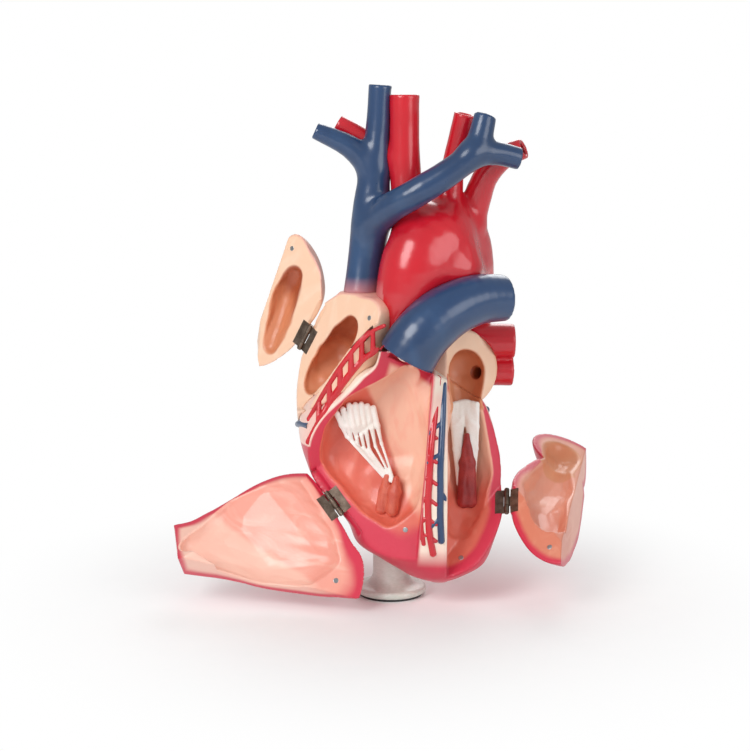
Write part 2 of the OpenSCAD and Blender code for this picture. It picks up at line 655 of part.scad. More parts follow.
module left_heart_door_vein() color(vein_blue) lh_swing() difference() {
    intersection() {
        tube(door_vein, 2, 12);
        lh_space(seam);
    }
    vent_form();
    la_form();
}
module right_atrium_door() color(beige) ra_swing() difference() {
    intersection() {
        ra_form();
        ra_space(seam);
    }
    vent_form();
    ra_chamber();
    at_ra() hinge_room(1);
    at_ra() magnet_room(ra_magnet, 1);
}
module right_atrium_door_leaf() color(steel) ra_swing() at_ra() door_leaf();
module right_atrium_door_screws() color(steel) ra_swing() at_ra() screw_places() screw(1);
module right_atrium_door_magnet() color(steel) ra_swing() at_ra() magnet(ra_magnet, 1);

foot_pad();
stand_foot();
stand_weight();
stand_washer();
stand_screw();
threaded_insert();
ventricles();
right_atrium();
left_atrium();
pulmonary_trunk();
right_pulmonary_artery();
aorta();
superior_vena_cava();
inferior_vena_cava();
left_pulmonary_veins();
right_pulmonary_veins();
tricuspid_valve();
mitral_valve();
pulmonary_valve();
right_papillary_muscles();
left_papillary_muscles();
right_coronary_artery();
anterior_interventricular_artery();
great_cardiac_vein();
small_cardiac_vein();
coronary_sinus();
posterior_interventricular_artery();
right_ventricle_hinge_leaf();
right_ventricle_hinge_pin();
left_heart_hinge_leaf();
left_heart_hinge_pin();
right_atrium_hinge_leaf();
right_atrium_hinge_pin();
hinge_screws();
seam_magnets();
right_ventricle_door();
right_ventricle_door_leaf();
right_ventricle_door_screws();
right_ventricle_door_magnet();
left_heart_door();
left_heart_door_leaf();
left_heart_door_screws();
left_heart_door_magnet();
left_heart_door_vein();
right_atrium_door();
right_atrium_door_leaf();
right_atrium_door_screws();
right_atrium_door_magnet();
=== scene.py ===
import bpy
import math
import numpy as np
from mathutils import Matrix, Vector


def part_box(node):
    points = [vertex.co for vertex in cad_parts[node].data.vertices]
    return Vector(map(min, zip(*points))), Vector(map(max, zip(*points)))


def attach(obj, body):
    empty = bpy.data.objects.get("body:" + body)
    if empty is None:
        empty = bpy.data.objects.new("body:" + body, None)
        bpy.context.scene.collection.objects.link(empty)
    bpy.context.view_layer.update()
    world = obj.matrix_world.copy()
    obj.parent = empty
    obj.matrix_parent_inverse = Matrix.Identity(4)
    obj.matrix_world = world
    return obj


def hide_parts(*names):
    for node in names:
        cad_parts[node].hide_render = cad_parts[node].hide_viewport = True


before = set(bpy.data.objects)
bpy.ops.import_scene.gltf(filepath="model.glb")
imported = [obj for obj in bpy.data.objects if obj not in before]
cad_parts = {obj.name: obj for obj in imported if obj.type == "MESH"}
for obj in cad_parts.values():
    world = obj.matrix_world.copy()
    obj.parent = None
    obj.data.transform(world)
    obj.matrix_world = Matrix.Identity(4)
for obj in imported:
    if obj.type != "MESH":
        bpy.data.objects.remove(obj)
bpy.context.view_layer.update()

# All shapes are worked out on the closed heart, in millimetres, and swung open with their doors.
MM = 0.001
SEAM = 0.75           # clearance on each side of a door seam
VESSEL_WALL = 3.0     # wall at an open vessel end
VESSEL_DEPTH = 12.0   # depth of an open vessel end
END_REACH = 60.0      # a vessel end changes nothing further off than this
FAR = 25.0            # field value well outside a shape
EDGE = 0.8            # rounding where a piece is trimmed back from its neighbour
PIECE_GAP = 0.6       # clearance between neighbouring fixed pieces
HOLLOW_EDGE = 2.0     # rounding of a hollow's lip
PROBE = 0.3           # distance over which a field's slope is taken

# Degrees from closed to the open doors of the rest pose
RV_OPEN, LH_OPEN, RA_OPEN = 158, 166, -172

# Heart cross sections: height, x centre, x radius, y centre, y radius
VENT_RINGS = [
    [19, 36, 10, -30, 8], [23, 34.5, 20, -28, 15], [29.5, 35, 32.5, -25, 23],
    [36, 32, 41, -22, 29], [46, 26, 51, -19, 36], [60, 25, 57, -14, 43],
    [72, 21.5, 63.5, -11, 48], [90, 14.5, 71.5, -7, 53], [106, 10.5, 74.5, -5, 55.5],
    [120, 7, 75, -4, 56], [132, 4.8, 74, -3, 54], [145, 4, 70, -3, 50],
    [158, 4.5, 59, -5, 44], [170, 6, 46, -11, 37], [178, 10, 36, -20, 32]]
RA_RINGS = [
    [106, -38, 24, 4, 27], [120, -38.5, 30, 5, 32], [134, -38.5, 32, 5, 35],
    [150, -37, 34.5, 5, 38], [164, -35, 36, 4, 40], [180, -33, 36, 3, 41],
    [192, -31, 34.5, 0, 41], [204, -29, 33.5, -5, 40], [214, -27, 32, -8, 38],
    [224, -24.5, 28, -11, 34], [233, -20.5, 19.5, -13, 27]]
LA_MIDDLE, LA_RADII = (45, 16, 172), (36, 42, 32)

# Vessel routes: x, y, z, radius
TRUNK = [[11.5, -41, 189, 21.5], [22, -41, 206, 21], [40, -34, 221, 20], [62, -22, 229, 18.5],
         [83, -11, 229, 17]]
RIGHT_LUNG_ARTERY = [[48, -8, 226, 12], [42, 16, 222, 12], [14, 36, 220, 12], [-30, 42, 220, 12]]
AORTA = [[10, -10, 176, 21], [11, -10, 205, 22.5], [13, -13, 235, 24], [20, -10, 262, 24.5],
         [36, 4, 279, 22], [51, 22, 274, 20.5], [58, 36, 250, 20], [59, 44, 215, 18.5], [59, 50, 180, 17]]
ARCH_BELLY = [[30, -10, 252, 21], [40, -2, 266, 22], [48, -4, 250, 20], [54, 16, 240, 18]]
RIGHT_HEAD_ARTERY = [[14, -4, 280, 13], [11, 0, 310, 11.5], [9.5, 2, 345, 11], [9.5, 2, 377, 11]]
RIGHT_ARM_ARTERY = [[6, 4, 326, 8], [-16, 11, 342, 7.5], [-40, 12, 356, 6.5]]
LEFT_HEAD_ARTERY = [[42, 6, 288, 10], [45, 8, 320, 8.5], [50, 6, 345, 8], [54, 4, 363, 8]]
LEFT_ARM_ARTERY = [[60, 18, 285, 11], [69, 12, 315, 9.5], [82, 4, 331, 8.5], [97, -2, 338, 7.5]]
UPPER_CAVA = [[-22.5, 0, 231, 13], [-18.5, 4, 258, 13.5], [-15, 3, 289, 14], [-12.5, 3, 320, 11.5],
              [-10, 4, 350, 9], [-8, 4, 384, 8.5]]
RIGHT_ARM_VEIN = [[-13, 3, 322, 10], [-30, 1, 339, 8.5], [-56, 0, 351, 6]]
LEFT_HEAD_VEIN = [[-14, 0, 282, 12], [0, -17, 296, 11], [18, -26, 307, 10.5], [42, -25, 322, 10],
                  [60, -20, 337, 9.5], [68, -14, 362, 8]]
LEFT_ARM_VEIN = [[58, -21, 335, 9.5], [76, -16, 335, 8.5], [93, -12, 331, 8]]
LOWER_CAVA = [[-38, 24, 134, 15], [-40, 32, 112, 15], [-41, 42, 84, 14]]
LEFT_LUNG_VEINS = [[[52, 25, 190, 14], [74, 28, 191, 13.5], [94, 29, 191, 13]],
                   [[52, 26, 168, 12], [74, 30, 168, 11.5], [93, 32, 167, 11]]]
RIGHT_LUNG_VEINS = [[[30, 46, 184, 11], [8, 56, 186, 11], [-16, 62, 187, 10.5]],
                    [[30, 46, 163, 11], [8, 58, 161, 10.5], [-14, 64, 159, 10]]]

# Chambers: x, y, z, radius of the balls that span them
RV_OUTFLOW = [[12, -34, 170, 11], [2, -31, 158, 15], [9, -36, 118, 19]]
RV_INFLOW = [[2, -31, 158, 15], [9, -36, 116, 19.5], [-26, -32, 152, 9], [-38, -26, 132, 11],
             [-40, -19, 112, 12], [-18, -30, 86, 12], [-2, -38, 74, 11], [10, -40, 84, 11]]
LV_HIGH = [[57, 0, 142, 12], [57, -4, 120, 17], [59, -6, 97, 17.5]]
LV_LOW = [[59, -6, 97, 17.5], [57, -14, 76, 15.5], [52, -24, 60, 11]]
LA_ROOM = [[54, 10, 171, 16], [55, 4, 150, 12]]
RA_ROOM = [[-30, -19, 207, 8.5], [-44, -10, 186, 10], [-59, -2, 163, 7.5], [-40, 4, 184, 13],
           [-42, -22, 190, 8]]


def unit(v):
    v = np.array(v, float)
    return v / np.linalg.norm(v)


TRUNK_ROOT, TRUNK_WAY = np.array([11.5, -41, 189.0]), unit([0.5, 0, 0.87])
RV_HINGE = (np.array([-42.2, -28.1, 77.3]), unit([0.583, -0.326, -0.744]))
LH_HINGE = (np.array([88, -0.5, 83.2]), unit([0.048, 0.701, 0.711]))
RA_HINGE = (np.array([-65, 11.5, 196.5]), unit([0.44, -0.19, 0.877]))


def cut_through(hinge, point, side):
    """Cut face that holds a hinge line and a point."""
    return hinge[0], side * unit(np.cross(hinge[1], np.array(point) - hinge[0]))


RV_FACE = cut_through(RV_HINGE, [-4, -10, 198], 1)
LH_FACE = cut_through(LH_HINGE, [48, -40, 32], 1)
RA_FACE = cut_through(RA_HINGE, [-27, -26.6, 203], -1)
LA_CUT = ([88, 6, 92], unit([0.5, -0.85, 0.17]))
SEPTUM_LEFT = ([18, 0, 38], unit([-1, 0, 0.082]))
SEPTUM_RIGHT = ([42, 0, 100], unit([1, 0, 0]))
GROOVE_RV = ([-10, -45, 190], unit([0.28, -0.87, -0.4]))
GROOVE_RA = ([-9, -31, 210], unit([-0.62, 0.51, 0.60]))
RA_FOOT = ([-64, 0, 147], unit([-0.35, 0, 0.94]))
RV_TRUNK = (TRUNK_ROOT - 1.5 * TRUNK_WAY, -TRUNK_WAY)


# ---- Fields: negative inside a shape, zero on its skin, in millimetres ----

def meet(a, b, soft):
    """Blend of two shapes with a soft crease."""
    h = np.clip(0.5 + 0.5 * (b - a) / soft, 0, 1)
    return b * (1 - h) + a * h - soft * h * (1 - h)


def trim(a, b, soft=1.2):
    """Shape a kept only where b is negative, its edge slightly rounded."""
    return -meet(-a, -b, soft)


def past(face, p):
    """Distance on the door side of a cut face."""
    return (p - np.array(face[0], np.float32)) @ np.array(face[1], np.float32)


def about(at, way, p):
    """Distance along a line from a point on it, and distance away from the line."""
    rel = p - np.array(at, np.float32)
    way = np.array(way, np.float32)
    along = rel @ way
    return along, np.linalg.norm(rel - along[:, None] * way, axis=1)


def eased(stations, steps):
    """Smooth curve through a route's stations."""
    s = np.array(stations, float)
    out = []
    for i in range(len(s) - 1):
        a, b, c, d = s[max(i - 1, 0)], s[i], s[i + 1], s[min(i + 2, len(s) - 1)]
        for k in range(steps):
            t = k / steps
            out.append(0.5 * (2 * b + (c - a) * t + (2 * a - 5 * b + 4 * c - d) * t * t
                              + (3 * b - a - 3 * c + d) * t ** 3))
    return np.array(out + [s[-1]])


def stacked(rings):
    """Field of a form given by its cross sections."""
    fine = eased(rings, 8)
    order = np.argsort(fine[:, 0])
    fine = fine[order].astype(np.float32)

    def field(p):
        z = p[:, 2]
        cx, rx, cy, ry = (np.interp(z, fine[:, 0], fine[:, k]).astype(np.float32) for k in (1, 2, 3, 4))
        x, y = (p[:, 0] - cx) / rx, (p[:, 1] - cy) / ry
        k = np.sqrt(x * x + y * y) + 1e-5
        return k * (k - 1) / (np.sqrt((x / rx) ** 2 + (y / ry) ** 2) + 1e-7)
    return field


def rod(p, a, b, ra, rb):
    """Field of a tapered rod between two points."""
    a, b = np.array(a, np.float32), np.array(b, np.float32)
    t = np.clip((p - a) @ (b - a) / max(float((b - a) @ (b - a)), 1e-6), 0, 1)
    return np.linalg.norm(p - a - t[:, None] * (b - a), axis=1) - (ra + (rb - ra) * t)


def pipe(route, steps=4):
    """Field of a round vessel along a route."""
    line = eased(route, steps).astype(np.float32)

    def field(p):
        best = np.full(len(p), FAR, np.float32)
        low, high = p.min(0), p.max(0)
        for a, b in zip(line[:-1], line[1:]):
            reach = max(a[3], b[3]) + 14
            past_low = (np.maximum(a[:3], b[:3]) + reach > low).all()
            if past_low and (np.minimum(a[:3], b[:3]) - reach < high).all():
                best = np.minimum(best, rod(p, a[:3], b[:3], a[3], b[3]))
        return best
    return field


def end_of(route):
    """A route's last point, its direction there and the radius of the hole in its end."""
    a, b = np.array(route[-2], float), np.array(route[-1], float)
    return b[:3], unit(b[:3] - a[:3]), b[3] - VESSEL_WALL


def opened(value, p, route):
    """Cuts a vessel off flat and bores its end."""
    spot, way, bore = end_of(route)
    if (spot + END_REACH < p.min(0)).any() or (spot - END_REACH > p.max(0)).any():
        return value
    along, away = about(spot, way, p)
    near = (away < bore + 4 * VESSEL_WALL) & (along > -2.5 * VESSEL_DEPTH)
    value = trim(value, np.where(near, along, -FAR), 1.0)
    return trim(value, -np.maximum(away - bore, -along - VESSEL_DEPTH), 1.2)


def spread(count):
    """Directions spread evenly over a ball."""
    i = np.arange(count) + 0.5
    z = 1 - 2 * i / count
    turn = math.pi * (1 + 5 ** 0.5) * i
    r = np.sqrt(1 - z * z)
    return np.stack([r * np.cos(turn), r * np.sin(turn), z], 1).astype(np.float32)


FACINGS = spread(420)


def spanned(balls):
    """Field of the smooth hull round some balls."""
    b = np.array(balls, np.float32)
    reach = (FACINGS @ b[:, :3].T + b[:, 3]).max(1)
    low, high = (b[:, :3] - b[:, 3:]).min(0) - 9, (b[:, :3] + b[:, 3:]).max(0) + 9

    def field(p):
        out = np.full(len(p), FAR, np.float32)
        near = ((p > low) & (p < high)).all(1)
        q = p[near]
        best = np.full(len(q), -1e3, np.float32)
        for k in range(0, len(FACINGS), 30):
            best = np.maximum(best, (q @ FACINGS[k:k + 30].T - reach[k:k + 30]).max(1))
        out[near] = best
        return out
    return field


def ripple(p, size, seed):
    """Gentle unevenness about -1 to 1, at a size in millimetres."""
    total = 0
    for k in range(4):
        way = FACINGS[(seed * 37 + k * 101) % len(FACINGS)] * (2 * math.pi / size) * (1 + 0.17 * k)
        side = FACINGS[(seed * 53 + k * 67 + 11) % len(FACINGS)] * (2 * math.pi / size) * 0.6
        total = total + np.sin(p @ way + 1.7 * k + 1.3 * np.sin(p @ side + seed))
    return total / 4


vent_rings, ra_rings = stacked(VENT_RINGS), stacked(RA_RINGS)
rv_hulls = [spanned(RV_OUTFLOW), spanned(RV_INFLOW)]
lv_hulls = [spanned(LV_HIGH), spanned(LV_LOW)]
la_hull, ra_hull = spanned(LA_ROOM), spanned(RA_ROOM)
aorta_pipe, trunk_pipe = pipe(AORTA), pipe(TRUNK)


def vent_form(p):
    body = trim(trim(vent_rings(p), p[:, 2] - 180, 8), 17.5 - p[:, 2], 8)
    lobe = rod(p, (10, -27, 146), TRUNK_ROOT + 2 * TRUNK_WAY, 31, 21.5)
    return trim(meet(body, lobe, 6), past((TRUNK_ROOT, TRUNK_WAY), p), 1) + 0.25 * ripple(p, 60, 1)


def ra_form(p):
    body = trim(ra_rings(p), p[:, 2] - 231, 12)
    neck = rod(p, (-25, -4, 212), (-22.3, 0, 240), 15, 13)
    return trim(meet(body, neck, 10), p[:, 2] - 232.5, 0.8) + 0.3 * ripple(p, 46, 2)


def la_form(p):
    q = (p - np.array(LA_MIDDLE, np.float32)) / np.array(LA_RADII, np.float32)
    k = np.linalg.norm(q, axis=1) + 1e-5
    return k * (k - 1) / (np.linalg.norm(q / np.array(LA_RADII, np.float32), axis=1) + 1e-7)


def rv_room(p):
    ridges = 0.9 * ripple(p * np.array([1, 1, 0.45], np.float32), 17, 3)
    return meet(rv_hulls[0](p), rv_hulls[1](p), 3) + ridges * np.clip((130 - p[:, 2]) / 40, 0.25, 1)


def lv_room(p):
    ridges = 1.0 * ripple(p * np.array([1, 1, 0.35], np.float32), 14, 5)
    return meet(lv_hulls[0](p), lv_hulls[1](p), 3) + ridges * np.clip((125 - p[:, 2]) / 30, 0, 1)


def la_room(p):
    mouth = rod(p, (62, 17, 168), (72, 29, 167), 4.5, 4)
    return meet(la_hull(p) + 0.3 * ripple(p, 22, 6), mouth, 2)


def ra_room(p):
    return ra_hull(p) + 0.7 * ripple(p * np.array([1, 1, 0.5], np.float32), 15, 7)


def within(*faces):
    """Field of the space on the door side of every face."""
    return lambda p: np.max([-past(f, p) for f in faces], axis=0)


rv_space = within(RV_FACE, SEPTUM_LEFT, GROOVE_RV, RV_TRUNK)
lh_space = within(LH_FACE, LA_CUT, SEPTUM_RIGHT)
ra_space = within(RA_FACE, GROOVE_RA, RA_FOOT)


# ---- Skins: a field turned into a mesh ----

def cells_round(edge, others, cells):
    """The four grid cells round each crossed grid line, in turn, and which of them exist."""
    out = []
    for da, db in ((0, 0), (1, 0), (1, 1), (0, 1)):
        cell = edge.copy()
        cell[:, others[0]] -= da
        cell[:, others[1]] -= db
        out.append((cell, ((cell >= 0) & (cell < np.array(cells))).all(1)))
    return out


def skin(field, low, high, step):
    """Vertices and four-sided faces of the surface where a field is zero."""
    axes = [np.arange(a, b + step, step, dtype=np.float32) for a, b in zip(low, high)]
    shape = tuple(len(a) for a in axes)
    value = np.empty(shape, np.float32)
    flat_x, flat_y = (g.ravel() for g in np.meshgrid(axes[0], axes[1], indexing="ij"))
    slab = max(1, 60000 // len(flat_x))
    for k in range(0, shape[2], slab):
        zs = axes[2][k:k + slab]
        across = [np.repeat(flat, len(zs)) for flat in (flat_x, flat_y)]
        p = np.stack(across + [np.tile(zs, len(flat_x))], 1)
        value[:, :, k:k + slab] = field(p).reshape(shape[0], shape[1], len(zs))
    cells = tuple(n - 1 for n in shape)
    total = np.zeros(cells + (3,), np.float32)
    count = np.zeros(cells, np.int16)
    crossings = []
    for axis in range(3):
        lo = [slice(None)] * 3
        hi = [slice(None)] * 3
        lo[axis], hi[axis] = slice(0, -1), slice(1, None)
        a, b = value[tuple(lo)], value[tuple(hi)]
        edge = np.argwhere((a < 0) != (b < 0))
        va, vb = a[tuple(edge.T)], b[tuple(edge.T)]
        spot = np.stack([axes[k][edge[:, k]] for k in range(3)], 1)
        spot[:, axis] += step * va / (va - vb)
        others = [k for k in range(3) if k != axis]
        for cell, ok in cells_round(edge, others, cells):
            np.add.at(total, tuple(cell[ok].T), spot[ok])
            np.add.at(count, tuple(cell[ok].T), 1)
        crossings.append((axis, others, edge, va < 0))
    number = np.full(cells, -1, np.int64)
    used = count > 0
    number[used] = np.arange(used.sum())
    points = total[used] / count[used][:, None]
    faces = []
    for axis, others, edge, solid_first in crossings:
        corners = cells_round(edge, others, cells)
        ok = np.all([exists for _, exists in corners], axis=0)
        quad = np.stack([number[tuple(cell[ok].T)] for cell, _ in corners], 1)
        turn = solid_first[ok] if axis != 1 else ~solid_first[ok]
        quad[~turn] = quad[~turn][:, ::-1]
        faces.append(quad)
    return settled(field, points, step), np.concatenate(faces)


def settled(field, points, step):
    """Moves a skin's vertices onto the exact surface."""
    for _ in range(2):
        here = field(points)
        ahead = [field(points + way) for way in np.eye(3, dtype=np.float32) * PROBE]
        slope = np.stack([value - here for value in ahead], 1) / PROBE
        size = (slope ** 2).sum(1) + 0.05
        move = -(here / size)[:, None] * slope
        length = np.linalg.norm(move, axis=1)
        points = points + move * np.minimum(1, 0.35 * step / np.maximum(length, 1e-6))[:, None]
    return points


def swing(hinge, degrees):
    """Matrix in metres that turns a closed door open."""
    at = Vector(hinge[0] * MM)
    return (Matrix.Translation(at) @ Matrix.Rotation(math.radians(degrees), 4, Vector(hinge[1]))
            @ Matrix.Translation(-at))


SWINGS = {"heart": Matrix(), "right_ventricle_door": swing(RV_HINGE, RV_OPEN),
          "left_heart_door": swing(LH_HINGE, LH_OPEN), "right_atrium_door": swing(RA_HINGE, RA_OPEN)}


def piece(name, shape, body, finish, nodes=(), slot=None, marks=None):
    """A mesh on one body, standing for some CAD nodes, with its paint marks kept per vertex."""
    points, faces = shape
    mesh = bpy.data.meshes.new(name)
    mesh.vertices.add(len(points))
    mesh.vertices.foreach_set("co", (points * MM).astype(np.float32).ravel())
    mesh.loops.add(faces.size)
    mesh.loops.foreach_set("vertex_index", faces.ravel().astype(np.int32))
    mesh.polygons.add(len(faces))
    mesh.polygons.foreach_set("loop_start", (np.arange(len(faces)) * faces.shape[1]).astype(np.int32))
    mesh.polygons.foreach_set("loop_total", np.full(len(faces), faces.shape[1], np.int32))
    mesh.update(calc_edges=True)
    mesh.validate()
    mesh.polygons.foreach_set("use_smooth", np.ones(len(mesh.polygons), bool))
    place = mesh.attributes.new("place", "FLOAT_VECTOR", "POINT")
    place.data.foreach_set("vector", points.astype(np.float32).ravel())
    for mark, amount in (marks or {}).items():
        layer = mesh.attributes.new(mark, "FLOAT", "POINT")
        layer.data.foreach_set("value", np.asarray(amount, np.float32))
    mesh.transform(SWINGS[body])
    mesh.materials.append(finish)
    made = bpy.data.objects.new(name, mesh)
    bpy.context.scene.collection.objects.link(made)
    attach(made, body)
    if nodes:
        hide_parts(*nodes)
    return made


# ---- Finishes ----

def colour(code):
    """Linear colour of a paint named by its six-digit code."""
    parts = [int(code[k:k + 2], 16) / 255 for k in (0, 2, 4)]
    return tuple(c / 12.92 if c <= 0.04045 else ((c + 0.055) / 1.055) ** 2.4 for c in parts) + (1.0,)


class Tone:
    """A shader value that takes plain arithmetic."""

    def __init__(self, tree, socket):
        self.tree, self.socket = tree, socket

    def maths(self, operation, *values):
        made = self.tree.node("ShaderNodeMath", {"operation": operation}, dict(enumerate(values)))
        return Tone(self.tree, made.outputs[0])

    def __add__(self, other):
        return self.maths("ADD", self, other)

    def __sub__(self, other):
        return self.maths("SUBTRACT", self, other)

    def __rsub__(self, other):
        return self.maths("SUBTRACT", other, self)

    def __mul__(self, other):
        return self.maths("MULTIPLY", self, other)

    __radd__, __rmul__ = __add__, __mul__

    def fade(self, low, high):
        """0 up to low, 1 from high, smooth between."""
        made = self.tree.node("ShaderNodeMapRange", {"interpolation_type": "SMOOTHSTEP"},
                              {"Value": self, "From Min": low, "From Max": high})
        return Tone(self.tree, made.outputs[0])

    def most(self, other):
        return self.maths("MAXIMUM", self, other)


class Tree:
    """Nodes of one material or of the world."""

    def __init__(self, tree):
        self.nodes, self.links = tree.nodes, tree.links

    def node(self, kind, settings=None, inputs=None):
        """A node of a type, with its settings and then its socket values or links."""
        made = self.nodes.new(kind)
        for key, value in (settings or {}).items():
            setattr(made, key, value)
        for key, value in (inputs or {}).items():
            self.feed(made.inputs[key], value)
        return made

    def feed(self, socket, value):
        """Links a socket, or sets it where the value is plain."""
        if isinstance(value, Tone):
            value = value.socket
        if isinstance(value, bpy.types.NodeSocket):
            self.links.new(value, socket)
        else:
            socket.default_value = value


class Finish(Tree):
    """One material and the nodes it is made of."""

    def __init__(self, name, roughness=0.4, coat=0.25, **plain):
        self.material = bpy.data.materials.new(name)
        self.material.use_nodes = True
        super().__init__(self.material.node_tree)
        self.shader = self.nodes["Principled BSDF"]
        self.shader.inputs["Roughness"].default_value = roughness
        self.shader.inputs["Coat Weight"].default_value = coat
        self.shader.inputs["Coat Roughness"].default_value = 0.18
        for socket, value in plain.items():
            self.shader.inputs[socket.replace("_", " ")].default_value = value
        self.place = self.node("ShaderNodeAttribute", {"attribute_name": "place"}).outputs["Vector"]

    def mark(self, name):
        """A paint mark kept on the mesh."""
        return Tone(self, self.node("ShaderNodeAttribute", {"attribute_name": name}).outputs["Fac"])

    def stretched(self, *scale):
        """Place on the closed heart, scaled so that a pattern runs long in one direction."""
        return self.node("ShaderNodeVectorMath", {"operation": "MULTIPLY"},
                         {0: self.place, 1: scale}).outputs[0]

    def noise(self, size, detail=3.0, where=None, warp=0.0):
        """Cloudy value about 0 to 1, at a size in millimetres."""
        made = self.node("ShaderNodeTexNoise", None, {
            "Vector": where or self.place, "Scale": 1 / size, "Detail": detail, "Distortion": warp})
        return Tone(self, made.outputs["Fac"])

    def mix(self, amount, a, b):
        """Colour a where the amount is 0, b where it is 1."""
        made = self.node("ShaderNodeMix", {"data_type": "RGBA"}, {0: amount})
        self.feed(made.inputs[6], a)
        self.feed(made.inputs[7], b)
        return made.outputs[2]

    def relief(self, height, depth):
        """Fine unevenness, its depth in millimetres."""
        made = self.node("ShaderNodeBump", None,
                         {"Height": height, "Distance": depth * MM, "Strength": 1.0})
        self.feed(self.shader.inputs["Normal"], made.outputs[0])

    def paint(self, tint, roughness):
        self.feed(self.shader.inputs["Base Color"], tint)
        self.feed(self.shader.inputs["Roughness"], roughness)
        return self.material


# Paints of the model
CRIMSON, DEEP_CRIMSON = colour("d42f4a"), colour("b81f3a")
SALMON, CORAL, PINK = colour("e4705c"), colour("f0937e"), colour("f4b3ab")
FLESH, CREAM, WHITE = colour("f5cdb2"), colour("f8e8d6"), colour("f5f1ea")
TAN, LIGHT_TAN = colour("d8875f"), colour("e9a67e")
RUST, UMBER = colour("a8502e"), colour("5a2018")
SCARLET, DARK_SCARLET = colour("cc1526"), colour("a30f1f")
NAVY, SLATE, INK = colour("24426a"), colour("3c6590"), colour("162c4a")
PALE_GREY, WARM_GREY = colour("e6eae3"), colour("d0d5ca")


def muscle(name, flesh, shade, ridge, rim):
    """Painted heart wall: crimson outside and round the cut, paler flesh further in, with painted shade
    on the left and lower sides of the hollows.
    """
    f = Finish(name, coat=0.3)
    depth, room, strip, pale = f.mark("depth"), f.mark("room"), f.mark("strip"), f.mark("pale")
    cloud, brush, fine = f.noise(38, 2), f.noise(13, 3, f.stretched(1, 1, 0.4), 0.8), f.noise(2.4, 2)
    outer = f.mix(cloud.fade(0.35, 0.75) * 0.5, CRIMSON, DEEP_CRIMSON)
    outer = f.mix(brush.fade(0.55, 0.85) * 0.25, outer, SALMON)
    outer = f.mix(f.mark("fat") * (brush * 0.5 + 0.75).fade(0.6, 1.0), outer, CREAM)
    strip_tint = f.mix(cloud.fade(0.4, 0.7) * 0.6, CREAM, PINK)
    outer = f.mix(strip * (cloud * 0.3 + 0.8).fade(0.7, 0.9), outer, strip_tint)
    within_rim = (depth + (cloud - 0.5) * 5).fade(rim, rim + 5).most((2.2 - room).fade(0, 1.4))
    # Painted shade: the shade colour on the hollows' left and lower sides, the flesh colour on their lit
    # side
    flesh_tint = f.mix((pale + (brush - 0.5) * 0.25).fade(0.25, 0.8), shade, flesh)
    flesh_tint = f.mix((brush + cloud * 0.3).fade(0.6, 0.9) * 0.45, flesh_tint, ridge)
    body = f.mix(within_rim, CRIMSON, flesh_tint)
    body = f.mix(f.mark("ivory"), body, WHITE)
    f.relief(fine * 0.4 + brush, 0.2)
    tint = f.mix(depth.fade(0.5, 1.6), outer, body)
    tint = f.mix(f.mark("tan"), tint, f.mix(cloud.fade(0.35, 0.7), TAN, LIGHT_TAN))
    return f.paint(tint, 0.32 + fine * 0.1)


def atrium(name):
    """Pale painted atrium: flesh outside, tan to rust in the hollow, with painted shade in the left
    vein's mouth.
    """
    f = Finish(name, coat=0.2)
    depth, room, blush, deep = f.mark("depth"), f.mark("room"), f.mark("blush"), f.mark("deep")
    cloud, brush, fine = f.noise(34, 2), f.noise(11, 3, f.stretched(1, 1, 0.5), 0.5), f.noise(2.2, 2)
    outer = f.mix(cloud.fade(0.35, 0.7) * 0.8, FLESH, colour("f1bd9b"))
    outer = f.mix(brush.fade(0.5, 0.85) * 0.35, outer, CREAM)
    outer = f.mix(blush * 0.8, outer, colour("eba79c"))
    cut = f.mix(brush.fade(0.45, 0.75) * 0.5, colour("f5caab"), colour("f8dcc4"))
    # Rust over tan: darker towards the top of the hollow, and painted shade in the left vein's mouth
    hollow = f.mix((deep + (brush - 0.5) * 0.4).fade(0.35, 0.95), TAN, RUST)
    body = f.mix(1 - room.fade(0.2, 2.2), cut, hollow)
    tint = f.mix(depth.fade(0.6, 2.0), outer, body)
    tint = f.mix(f.mark("red"), tint, f.mix(cloud.fade(0.35, 0.75) * 0.5, CRIMSON, DEEP_CRIMSON))
    f.relief(fine * 0.4 + brush, 0.2)
    return f.paint(tint, 0.36 + fine * 0.1)


def vessel(name, base, light, dark, bore, gloss):
    """Glossy painted vessel with a dark bore and lighter streaks along it as painted highlights."""
    f = Finish(name, coat=0.45)
    inner, foot = f.mark("bore"), f.mark("foot")
    cloud, brush, fine = f.noise(60, 1), f.noise(26, 2, f.stretched(1, 1, 0.3), 0.6), f.noise(2.4, 2)
    tint = f.mix(cloud.fade(0.4, 0.75) * 0.35, base, dark)
    # Painted highlights: streaks of the lighter colour running along the vessel
    tint = f.mix(brush.fade(0.5, 0.85) * 0.35, tint, light)
    tint = f.mix(foot * (brush * 0.5 + 0.6).fade(0.5, 1.0), tint, colour("d98c8c"))
    tint = f.mix(inner, tint, f.mix(cloud.fade(0.3, 0.7), bore, dark))
    f.relief(fine * 0.25 + brush, 0.1)
    return f.paint(tint, gloss + fine * 0.06 + inner * 0.2)


def moulding(name, light, dark, size, roughness, relief=0.12, coat=0.2, local=False, **plain):
    """Moulded or cast surface with soft clouding and a fine grain."""
    f = Finish(name, coat=coat, **plain)
    if local:
        where = f.node("ShaderNodeTexCoord").outputs["Object"]
        f.place = f.node("ShaderNodeVectorMath", {"operation": "SCALE"},
                         {0: where, "Scale": 1 / MM}).outputs[0]
    cloud, fine = f.noise(size, 4), f.noise(size / 14, 4, f.stretched(1, 1, 3))
    f.relief(fine + cloud * 0.3, relief)
    tint = f.mix((cloud * 0.7 + fine * 0.5).fade(0.38, 0.82), light, dark)
    return f.paint(tint, roughness + fine * 0.18)
